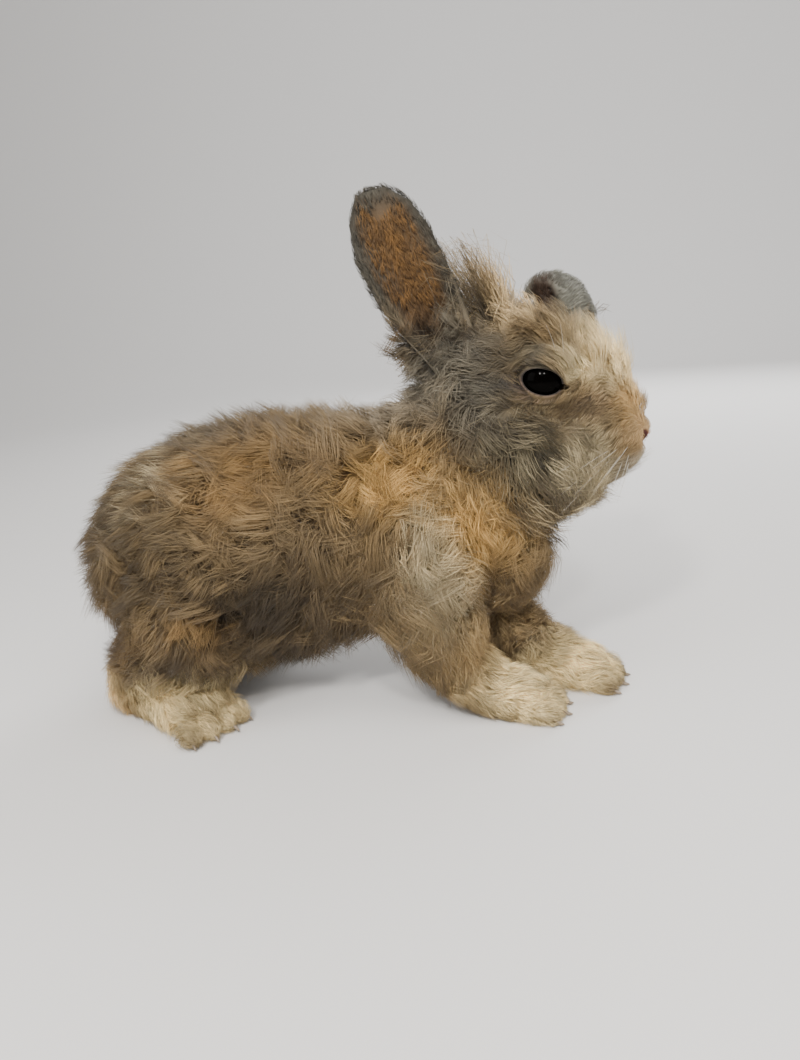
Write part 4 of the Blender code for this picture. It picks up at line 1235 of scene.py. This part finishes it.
def aim_camera():
    """The camera at the photograph's viewpoint."""
    heading, dip, roll = (math.radians(a) for a in (CAMERA_HEADING, CAMERA_DIP, CAMERA_ROLL))
    across = Vector((math.cos(heading), math.sin(heading), 0))
    level = Vector((-math.sin(heading), math.cos(heading), 0))
    ahead = level * math.cos(dip) - Vector((0, 0, math.sin(dip)))
    up = level * math.sin(dip) + Vector((0, 0, math.cos(dip)))
    side = across * math.cos(roll) - up * math.sin(roll)
    top = across * math.sin(roll) + up * math.cos(roll)
    place = Vector(CAMERA_PLACE) + shift
    deselect()
    bpy.ops.object.camera_add()
    camera = bpy.context.object
    camera.name = "camera"
    camera.data.lens = FOCAL_PIXELS / FRAME_HEIGHT * camera.data.sensor_width
    camera.data.clip_start = 0.01
    columns = (side, top, -ahead, place)
    camera.matrix_world = Matrix([[c[row] for c in columns] for row in range(3)] + [[0, 0, 0, 1]])
    bpy.context.scene.camera = camera


def light(name, place, size, power, colour=(1.0, 1.0, 1.0), target=(0.0, 0.0, 0.08)):
    """A square soft light aimed at the rabbit, unless it has another target."""
    deselect()
    bpy.ops.object.light_add(type="AREA", location=place)
    lamp = bpy.context.object
    lamp.name = name
    lamp.data.size = size
    lamp.data.energy = power
    lamp.data.color = colour
    aim = Vector(target) - Vector(place)
    lamp.rotation_euler = aim.to_track_quat("-Z", "Y").to_euler()


def make_stage():
    """A plain pale round floor that curves up into a wall all round, and soft light."""
    rings = []
    for k in range(13):
        turn = math.radians(7.5 * k)
        radius, height = BOWL_RADIUS + BOWL_BEND * math.sin(turn), BOWL_BEND * (1 - math.cos(turn))
        around = (2 * math.pi * j / 96 for j in range(96))
        rings.append([Vector((radius * math.cos(a), radius * math.sin(a), height)) for a in around])
    bowl = tube("floor", rings)
    bpy.ops.object.mode_set(mode="EDIT")
    bpy.ops.mesh.select_all(action="DESELECT")
    shape = bmesh.from_edit_mesh(bowl.data)
    lid = max(shape.faces, key=lambda f: f.calc_center_median().z if len(f.verts) > 4 else -1)
    lid.select = True
    bmesh.update_edit_mesh(bowl.data)
    bpy.ops.mesh.delete(type="FACE")
    bpy.ops.object.mode_set(mode="OBJECT")
    bpy.ops.object.shade_smooth()
    pale, _ = principled("floor_pale", (0.7, 0.69, 0.68), 0.95)
    bowl.data.materials.append(pale)
    world = bpy.data.worlds.new("studio")
    world.use_nodes = True
    world.node_tree.nodes["Background"].inputs["Color"].default_value = (1.0, 0.98, 0.95, 1.0)
    world.node_tree.nodes["Background"].inputs["Strength"].default_value = 0.42
    bpy.context.scene.world = world
    light("key", (0.24, -0.46, 0.9), 1.0, 9.0, (1.0, 0.97, 0.93))
    light("fill", (-0.8, -0.5, 0.5), 0.7, 3.0)
    light("rim", (0.3, 0.8, 0.6), 0.7, 8.0)
    light("wall", (0.0, 0.9, 1.5), 0.8, 28.0, target=(0.3, 2.4, 0.7))
    light("catch_left", (-0.02, -0.5, 0.5), 0.07, 3.0, (1.0, 0.97, 0.93))
    light("catch_right", (0.2, -0.5, 0.48), 0.06, 2.0, (1.0, 0.97, 0.93))


def make_whiskers():
    """Fine tapered whiskers from the muzzle and over the eyes."""
    pale, _ = principled("whisker_pale", (0.55, 0.5, 0.42), 0.4)
    draw = np.random.default_rng(SEED + 90)
    whiskers = []
    for side in (-1, 1):
        for k in range(WHISKER_COUNT):
            row, place = divmod(k, 4)
            root = Vector((99.5 - place * 2.0, side * (6.8 + place * 0.7), 93.5 - row * 2.2))
            ahead = Vector((-0.3 - 0.16 * place + draw.uniform(-0.1, 0.1), side, -0.12 - 0.25 * row))
            whiskers.append(hair(root, ahead, draw.uniform(20, 32), WHISKER_THICK, Vector((-0.5, 0, -0.5))))
        for k in range(2):
            root = Vector((76.0 + 2 * k, side * 16.5, 126.5))
            ahead = Vector((0.2 * k - 0.2, side * 0.8, 0.9))
            whiskers.append(hair(root, ahead, draw.uniform(12, 16), BROW_HAIR_THICK, Vector((-0.4, 0, 0.1))))
    whiskers = join("whiskers", whiskers)
    bpy.ops.object.shade_smooth()
    whiskers.data.materials.append(pale)
    return whiskers


def hair(root, ahead, length, thick, droop):
    """One tapered bending hair from a root, in millimetres."""
    rings, place = [], root.copy()
    ahead = ahead.normalized()
    for step in range(9):
        share = step / 8
        side = ahead.cross(Vector((0.1, 0.2, 1))).normalized()
        up = side.cross(ahead)
        radius = thick * (1 - share * 0.85)
        rings.append(circle(place, side, up, radius, HAIR_TURNS))
        place = place + ahead * (length / 8)
        ahead = (ahead + droop * 0.12 * share).normalized()
    return tube("hair", rings)


low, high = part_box("eye_right")
shift = (low + high) / 2 - vec(mirrored(EYE_CENTRE, -1))

skin, toes = make_skin()
set_colours(skin, markings(coordinates(skin), read(skin.data.vertices, "normal", 3)))
skin.data.materials.clear()
skin.data.materials.append(skin_material())
coat_paint, _ = marked("coat_fur", 0.8, 0.04)
made = [skin, *make_coat(skin, coat_paint), make_claws(toes), make_whiskers()]
eyes = make_eyes()
for piece in made + eyes:
    piece.data.transform(Matrix.Translation(shift))
    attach(piece, "root")
flesh = [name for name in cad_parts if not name.startswith("eye")]
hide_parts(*flesh)
for piece, node in zip(eyes, ("eye_right", "eye_left")):
    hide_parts(node)

make_stage()
aim_camera()
